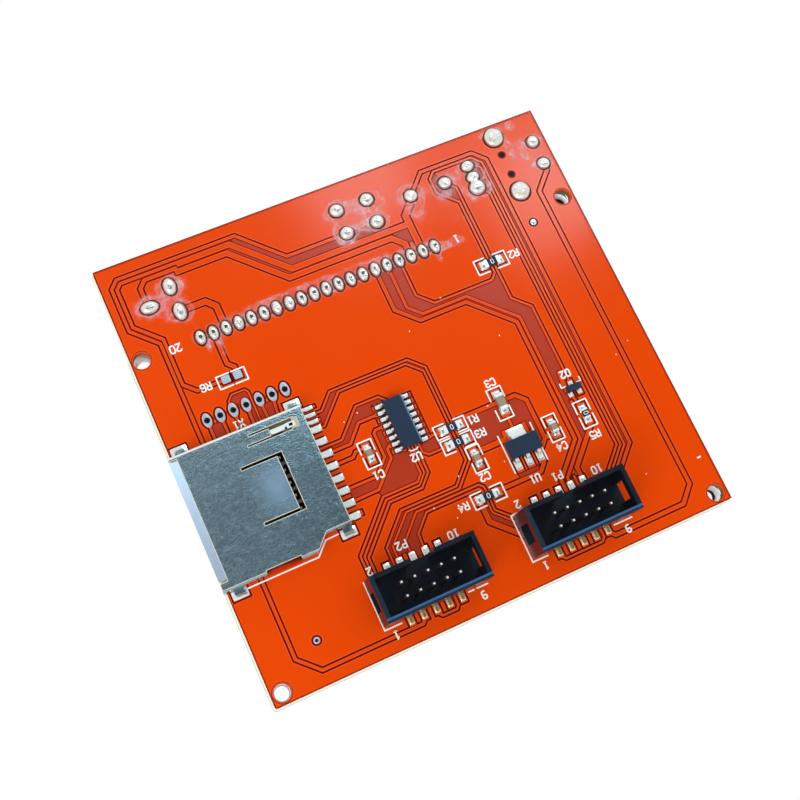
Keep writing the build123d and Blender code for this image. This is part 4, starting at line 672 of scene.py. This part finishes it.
for box_name, middle in (("expansion_one", 16.7), ("expansion_two", -13.3)):
    wall = middle - 10.1 + 0.86
    shroud = dressed(box_name + "_shroud", shroud_black, 0.14, segments=3, cuts=((1, -28.89), (1, -29.3), (0, wall)))
    # Painted highlights on the rim tops: bright blue on the near rim's middle strip, dimmer blue on its outer part and
    # the left end.
    repaint(shroud, shroud_dim_highlight, (-far, -28.89, 8.9), (wall, far, 9.1))
    repaint(shroud, shroud_dim_highlight, (-far, -far, 8.9), (far, -29.3, 9.1))
    repaint(shroud, shroud_rim_highlight, (-far, -29.3, 8.9), (far, -28.89, 9.1))
    # The pins are dark metal, painted shade, inside the shroud; their tips and tails get the tin and the gold.
    pins = dressed(box_name + "_pins", pin_shade, 0.09, cuts=((2, 8.48), (1, -29.0), (1, -22.0)))
    repaint(pins, frosted, (-far, -far, 8.48), (far, far, far))
    repaint(pins, frosted, (-far, -22.0, -far), (far, far, far))
    repaint(pins, gold, (-far, -far, -far), (far, -29.0, far))
    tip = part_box(box_name + "_pins")[1][2] / MM
    # Painted shade round the edge of each pin's tip.
    borders(box_name + "_tip_shade_rims", box_name + "_pins", -0.15, tip + 0.003, shade, level=tip)
for part in ("shifter", "regulator", "transistor"):
    dressed(part + "_body", chip_black, 0.06)
    dressed(part + "_leads", frosted, 0.035)
low, high = [np.array(corner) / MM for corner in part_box("shifter_body")]
glint_blue = finish("chip_edge_glint", srgb(92, 128, 166), 0.4, vary=0.2, grain=1500)
boxes("chip_glint", [((high[0] - 0.36, low[1] + 0.1, high[2] - 0.01),
                      (high[0] - 0.16, high[1] - 0.1, high[2] + 0.003))], glint_blue, 0)
# The row's pins in the same dark metal: their ends above the joints show a painted dark reflection.
dressed("header_pins", pin_shade, 0.08)
dressed("header_insulator", black_moulding, 0.08)

# %% [markdown]
# ## Bare holes and small details of the rear face
# Seven unused holes, one via and a filled test hole have rings of bare tin, duller than soldered lands. They
# are washers: flat rings with a raised rim, lying on the foil.


# %% Washers
def washers(name, rings, material, spokes=36, z=FOIL, lip=0.05):
    """Rings as (x, y, hole, size x, size y); the rim rises 0.03 mm between the hole and the outer edge."""
    angle = np.linspace(0, 2 * np.pi, spokes, endpoint=False)
    points, faces = [], []
    s = np.arange(spokes)
    for number, (x, y, hole, sx, sy) in enumerate(rings):
        for share, rise in ((0, -lip), (0, 0.02), (0.5, 0.035), (0.9, 0.03), (1, 0.0)):
            px = (hole / 2 * (1 - share) + sx / 2 * share) * np.cos(angle) + x
            py = (hole / 2 * (1 - share) + sy / 2 * share) * np.sin(angle) + y
            points.append(np.stack([px, py, np.full(spokes, z + rise)], -1))
        for k in range(4):
            low = (number * 5 + k) * spokes
            faces.append(np.stack([low + s, low + spokes + s, low + spokes + (s + 1) % spokes,
                                   low + (s + 1) % spokes], -1))
    return add_mesh(name, np.concatenate(points), np.concatenate(faces), material)


bare = [(-37.4 + 2.55 * k, 17.4, 1.12, 1.6, 2.75) for k in range(7)] + [(-35.0, -26.8, 0.6, 1.2, 1.2)]
guides = [(36.6, 40.65, 1.15, 1.15), (36.6, 45.15, 1.15, 1.15)]
# Each guide hole gets a black disc of painted shade inside a dark ring.
ovals("guide_rims", [(x, y, 1.7, 1.7) for x, y, sx, sy in guides], edge_shade, FOIL + 0.003)
ovals("guide_hole_shade", guides, shade, FOIL + 0.006)
washers("bare_rings", bare, pad_bare)
# Painted shade: dark rings down inside the bare holes.
washers("bare_hole_shade", [(x, y, hole * 0.3, hole + 0.04, hole + 0.04) for x, y, hole, sx, sy in bare], shade,
        z=FOIL - 0.008, lip=0.5)
pillows("bare_pads", [(-31.3, 23.3, 1.6, 1.5, 0.04), (-28.95, 23.3, 1.6, 1.5, 0.04)], pad_bare)
hills("test_joint", [(36.1, 29.75, 1.3, 1.3, 0.3)])
ovals("test_rim", [(36.1, 29.75, 1.95, 1.95)], dark_rim, FOIL + 0.003)
rings = [(x, y, 2.8, 4.98, 4.98) for x in (-44, 44) for y in (-32.5, 32.5)]
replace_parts(washers("plated_rings", rings, plated, z=-4.14), "display_rings")
dark_holes = [(x, y, 2.7, 2.8, 2.8) for x, y, hole, sx, sy in rings if x > 0 or y < 0]
washers("front_hole_shade", dark_holes, shade, z=-4.2, lip=1.3)
washers("front_hole_tin", [(-44, 32.5, 2.7, 2.8, 2.8)], plated, z=-4.2, lip=1.3)
washers("rear_hole_walls", [(x, y, 3.14, 3.2, 3.2) for x, y, hole, sx, sy in rings], brown, z=-0.24, lip=1.3)
washers("hole_masks", [(x, y, 3.2, 3.7, 3.7) for x, y, hole, sx, sy in rings], mask_copper, z=0.02, lip=0.3)
# Painted shade: a dark line along the board's edge.
borders("board_edge_shade", "controller_board", -0.13, FOIL + 0.002, edge_shade)
specks = [(-14.6, 7.35), (-11.65, 8.0), (0.6, -10.3), (-6.1, -13.9), (9.7, -11.2), (11.4, -0.35), (33.4, -24.0),
          (42.3, 0.7), (38.9, -0.9), (19.6, 11.3), (4.0, 18.7), (12.3, 22.5), (-2.9, -17.2), (-20.6, 13.4), (5.2, 31.0)]
ovals("specks", [(x, y, *(0.16 + 0.16 * rng.random(2))) for x, y in specks] + [(44.3, -25.2, 0.9, 0.4)], white_ink,
      FOIL + 0.01, corners=10)

# %% [markdown]
# ## Dried flux
# The parts on the far side were soldered by hand, and the flux left a pale, streaky film round their joints and
# along the pin row. A film has no thickness worth modelling, so it is one fine grid just above the mask. Its
# cover is worked out in numpy as a field: nearness to a joint times a wavy noise whose ridges make the drying
# lines. The field is kept as an attribute, which the material reads as its alpha, and bare cells are dropped.


# %% A noise field and the film
def waves(x, y, step, octaves=3):
    """Smooth noise from 0 to 1: random values on a lattice of that step, blended by cosine, octaves added."""
    total, weight = np.zeros_like(x), 0.0
    for octave in range(octaves):
        size = step / 2 ** octave
        table = rng.random((64, 64))
        u, v = x / size + 7.3, y / size + 3.1
        i, j = np.floor(u).astype(int), np.floor(v).astype(int)
        fu, fv = (1 - np.cos(np.pi * (u - i))) / 2, (1 - np.cos(np.pi * (v - j))) / 2
        a, b = table[i % 64, j % 64], table[(i + 1) % 64, j % 64]
        c, d = table[i % 64, (j + 1) % 64], table[(i + 1) % 64, (j + 1) % 64]
        total += ((a * (1 - fu) + b * fu) * (1 - fv) + (c * (1 - fu) + d * fu) * fv) / 2 ** octave
        weight += 1 / 2 ** octave
    return total / weight


def near(x, y, places):
    """Sum of bells exp(-(distance / radius) ** 2) over places given as (x, y, radius x, radius y, strength)."""
    return sum(strength * np.exp(-((x - px) / rx) ** 2 - ((y - py) / ry) ** 2)
               for px, py, rx, ry, strength in places)


def film(name, x, y, cover, z, material):
    """A grid over the points where the cover is more than a trace; the cover is kept as a point attribute."""
    rows, columns = x.shape
    i, j = np.meshgrid(np.arange(rows - 1), np.arange(columns - 1), indexing="ij")
    corner = i * columns + j
    quads = np.stack([corner, corner + columns, corner + columns + 1, corner + 1], -1).reshape(-1, 4)
    quads = quads[cover.ravel()[quads].max(1) > 0.03]
    used, place = np.unique(quads, return_inverse=True)
    points = np.stack([x.ravel(), y.ravel(), z + 0.006 * cover.ravel()], -1)[used]
    obj = add_mesh(name, points, place.reshape(-1, 4), material)
    field = obj.data.attributes.new("cover", "FLOAT", "POINT")
    field.data.foreach_set("value", cover.ravel()[used].astype(np.float32))
    return obj


def veil(material):
    """Lets the cover attribute drive the alpha of a material."""
    nodes, links = material.node_tree.nodes, material.node_tree.links
    cover_node = nodes.new("ShaderNodeAttribute")
    cover_node.attribute_name = "cover"
    links.new(cover_node.outputs["Fac"], nodes["Principled BSDF"].inputs["Alpha"])
    return material


# %% Where the flux lies
wet = [(x, y, 2.3, 1.9, 1.0 if x < 18 else 0.55) for x, y, sx, sy in seats if y > 36 and sx < 4]
wet += [(x, y, 1.5, 1.5, 0.42) for x, y, sx, sy in seats if y < 36]
wet += [(-8.0, 34.3, 17.0, 0.8, 0.45), (7.6, 45.3, 2.6, 1.2, 0.7), (4.0, 42.6, 3.0, 1.0, 0.5), (15.6, 42.2, 1.6, 3.0, 0.8),
        (22.0, 41.0, 2.6, 3.4, 0.25), (36.6, 50.3, 3.4, 0.7, 0.5), (40.9, 50.5, 0.9, 0.9, 0.9), (38.6, 46.6, 0.9, 3.4, 0.6),
        (40.9, 44.6, 0.8, 2.2, 0.6), (19.2, 32.0, 2.6, 0.8, 0.8), (15.8, 30.2, 0.5, 1.0, 0.8), (-31.7, 30.2, 0.4, 0.9, 0.8),
        (-29.6, 29.4, 0.4, 1.6, 0.8), (24.0, 35.4, 3.0, 1.6, 0.2)]
x, y = np.meshgrid(np.arange(-45.0, 46.0, 0.22), np.arange(24.0, 51.6, 0.22), indexing="ij")
bend = waves(x, y, 6.0) * 5.0
depth = near(x, y, wet)
depth = np.clip(depth + 0.5 * (waves(x, y, 1.6) - 0.5), 0, 1) * np.clip(depth * 4, 0, 1)
patch = waves(x + bend, y - bend, 2.2)
ridge = np.clip(1 - np.abs(waves(x - bend, y + bend, 2.0) - 0.5) * 16, 0, 1)
border = np.clip(1 - np.abs(depth - 0.34) * 9, 0, 1)
cover = depth * (0.12 + np.clip(patch * 2.6 - 1.2, 0, 1) * 0.7 + ridge * 0.65) + 0.45 * border * patch
flux = veil(finish("dried_flux", srgb(242, 196, 200), 0.3, vary=0.08, grain=1500, specular=0.4))
made = film("flux_film", x, y, np.clip(cover, 0, 0.85), FOIL + 0.003, flux)
print("flux film cells:", len(made.data.polygons))

# %% [markdown]
# ## The sprung flap
# The shell's middle flap is bent up by a hair, so it turns toward another part of the room and looks bluer. That
# bluer reflection is painted with the same trick as the flux: a thin veil over the flap, strongest in its middle,
# with a cool metallic finish.

# %% A painted cool reflection on the flap
x, y = np.meshgrid(np.linspace(-35.4, -28.75, 40), np.linspace(-4.35, 5.6, 50), indexing="ij")
glint = veil(finish("flap_glint", srgb(176, 206, 232), 0.35, 0.5, vary=0.1, grain=700, bump=0.004, bump_scale=420,
                    swirl=True))
film("flap_veil", x, y, 0.5 * near(x, y, [(-30.6, 0.8, 3.4, 4.4, 1.0)]), SHELL + 0.002, glint)

# %% [markdown]
# ## The display side
# Nothing of this side shows in the photograph, so it keeps the CAD shapes with plain, believable finishes:
# a black bezel, blue glass behind a polarizer, and the controls that stand on the longer board.

# %% Display and controls
glass = finish("display_glass", srgb(34, 60, 150), 0.08, vary=0.02, grain=40, specular=0.5)
film = finish("polarizer_film", srgb(26, 44, 128), 0.1, vary=0.02, grain=40, coat=0.5)
dressed("display_bezel", bezel_paint, 0.1)
dressed("polarizer", film, 0.0)
dressed("front_glass", glass, 0.05)
dressed("rear_glass", glass, 0.05)
for node, material, bevel, name in (
        ("zebra_strips", rubber, 0.05, "rubber_strip"), ("backlight_guide", white_moulding, 0.1, "white_plastic"),
        ("chip_blobs", blob_epoxy, 0.0, "blob_epoxy"), ("display_joints", silver, 0.05, "solder"),
        ("encoder_housing", black_moulding, 0.1, "black_plastic"), ("encoder_bracket", shell_steel, 0.08, "steel"),
        ("encoder_bushing", zinc, 0.06, "zinc"), ("encoder_terminals", tinned, 0.05, "pin_metal"),
        ("encoder_dome", spring_metal, 0.0, "copper_plate"), ("buzzer_case", black_moulding, 0.15, "black_plastic"),
        ("buzzer_diaphragm", spring_metal, 0.0, "copper_plate"), ("buzzer_base", black_moulding, 0.05, "black_plastic"),
        ("buzzer_pins", tinned, 0.05, "pin_metal"), ("button_base", black_moulding, 0.08, "black_plastic"),
        ("button_cover", shell_steel, 0.05, "steel"), ("button_dome", spring_metal, 0.0, "copper_plate"),
        ("button_terminals", tinned, 0.04, "pin_metal"), ("trimmer_base", blue_moulding, 0.1, "blue_plastic"),
        ("trimmer_terminals", tinned, 0.05, "pin_metal")):
    dressed(node, material, bevel)
for node, material, bevel, name in (
        ("encoder_rotor", white_moulding, 0.08, "white_plastic"), ("encoder_shaft", turned, 0.06, "shaft_metal"),
        ("button_plunger", black_moulding, 0.12, "black_plastic"), ("trimmer_dial", white_moulding, 0.06, "white_plastic")):
    dressed(node, material, bevel, body=node)

# %% [markdown]
# ## Light, floor and camera
# The photograph is a cut-out: soft light from all round, a brighter panel far behind the board's upper right
# that puts a pale sheen on the mask there, and no shadow at all. The floor is pure white to the camera and an
# ordinary pale surface to everything else. The camera's place was solved from the board's corners, holes and
# pin row.

# %% Floor
low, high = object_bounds()
floor_z = low.z - 0.0002
floor_mesh = bpy.data.meshes.new("floor")
floor_mesh.from_pydata([(-3, -3, floor_z), (3, -3, floor_z), (3, 3, floor_z), (-3, 3, floor_z)], [], [(0, 1, 2, 3)])
floor = bpy.data.objects.new("floor", floor_mesh)
bpy.context.scene.collection.objects.link(floor)
paper = bpy.data.materials.new("paper")
paper.use_nodes = True
paper_nodes, paper_links = paper.node_tree.nodes, paper.node_tree.links
paper_nodes["Principled BSDF"].inputs["Base Color"].default_value = (0.8, 0.8, 0.8, 1)
paper_nodes["Principled BSDF"].inputs["Roughness"].default_value = 0.9
glow = paper_nodes.new("ShaderNodeEmission")
ray = paper_nodes.new("ShaderNodeLightPath")
choose = paper_nodes.new("ShaderNodeMixShader")
seen = ray.outputs["Is Camera Ray"]
for kind in ("Is Glossy Ray", "Is Transmission Ray"):
    either = paper_nodes.new("ShaderNodeMath")
    either.operation = "MAXIMUM"
    paper_links.new(seen, either.inputs[0])
    paper_links.new(ray.outputs[kind], either.inputs[1])
    seen = either.outputs[0]
paper_links.new(seen, choose.inputs[0])
paper_links.new(paper_nodes["Principled BSDF"].outputs[0], choose.inputs[1])
paper_links.new(glow.outputs[0], choose.inputs[2])
paper_links.new(choose.outputs[0], paper_nodes["Material Output"].inputs["Surface"])
floor_mesh.materials.append(paper)

# %% The room: dark overhead, where the camera is, and bright all round
world = bpy.data.worlds.new("room")
bpy.context.scene.world = world
world.use_nodes = True
room_nodes, room_links = world.node_tree.nodes, world.node_tree.links
direction = room_nodes.new("ShaderNodeTexCoord")
overhead = room_nodes.new("ShaderNodeVectorMath")
overhead.operation = "DOT_PRODUCT"
overhead.inputs[1].default_value = (0.196, 0.049, 0.979)
room_links.new(direction.outputs["Generated"], overhead.inputs[0])
ramp = room_nodes.new("ShaderNodeValToRGB")
ramp.color_ramp.interpolation = "EASE"
room_links.new(overhead.outputs["Value"], ramp.inputs["Fac"])
stops = [(0.0, (0.92, 0.95, 0.98)), (0.70, (0.98, 0.99, 1.0)), (0.88, (0.92, 0.96, 1.0)),
         (0.975, (0.05, 0.07, 0.09)), (1.0, (0.03, 0.04, 0.06))]
while len(ramp.color_ramp.elements) < len(stops):
    ramp.color_ramp.elements.new(0.5)
for element, (place, colour) in zip(ramp.color_ramp.elements, stops):
    element.position = place
    element.color = (*colour, 1)
room_links.new(ramp.outputs["Color"], room_nodes["Background"].inputs["Color"])
room_nodes["Background"].inputs["Strength"].default_value = 0.84


def panel(name, place, aim, size, power, colour=(1, 1, 1), roll=0):
    """A square area light at a place, facing a point, in metres and watts, rolled by so many degrees."""
    lamp = bpy.data.lights.new(name, "AREA")
    lamp.shape = "SQUARE"
    lamp.size = size
    lamp.energy = power
    lamp.color = colour
    obj = bpy.data.objects.new(name, lamp)
    bpy.context.scene.collection.objects.link(obj)
    back = (np.array(place) - np.array(aim)) / np.linalg.norm(np.array(place) - np.array(aim))
    right = np.cross((0.0, 1.0, 0.0), back)
    right /= np.linalg.norm(right)
    up = np.cross(back, right)
    c, s = math.cos(math.radians(roll)), math.sin(math.radians(roll))
    right, up = c * right - s * up, s * right + c * up
    turn = np.eye(4)
    turn[:3, 0], turn[:3, 1], turn[:3, 2], turn[:3, 3] = right, up, back, place
    obj.matrix_world = Matrix(turn.tolist())
    return obj


panel("key", (-0.45, -0.35, 0.42), (-0.01, 0, 0), 0.3, 1.6)
panel("fill", (0.0, -0.05, 1.2), (0, 0, 0), 1.2, 3.6).visible_glossy = False
for name, place, size, power, roll in (("sheen", (0.352, 0.446, 0.62), 0.40, 1.6, 32),
                                       ("edge_sheen", (0.304, 0.240, 0.62), 0.075, 0.16, 0),
                                       ("top_sheen", (0.168, 0.301, 0.62), 0.075, 0.14, 0)):
    panel(name, place, (0.03, 0.04, 0), size, power, (0.62, 0.94, 1.0), roll).visible_diffuse = False

# %% Camera
camera_data = bpy.data.cameras.new("camera")
camera_data.sensor_width = 36.0
camera_data.lens = 54.27
camera_data.clip_start = 0.005
camera = bpy.data.objects.new("camera", camera_data)
bpy.context.scene.collection.objects.link(camera)
camera.matrix_world = Matrix((
    (0.90337131, 0.37669008, -0.20499965, -0.04925923),
    (-0.41528346, 0.88768165, -0.19889931, -0.03746923),
    (0.10705103, 0.26481289, 0.9583393, 0.21494715),
    (0, 0, 0, 1)))
bpy.context.scene.camera = camera
bpy.context.scene.view_settings.view_transform = "Standard"
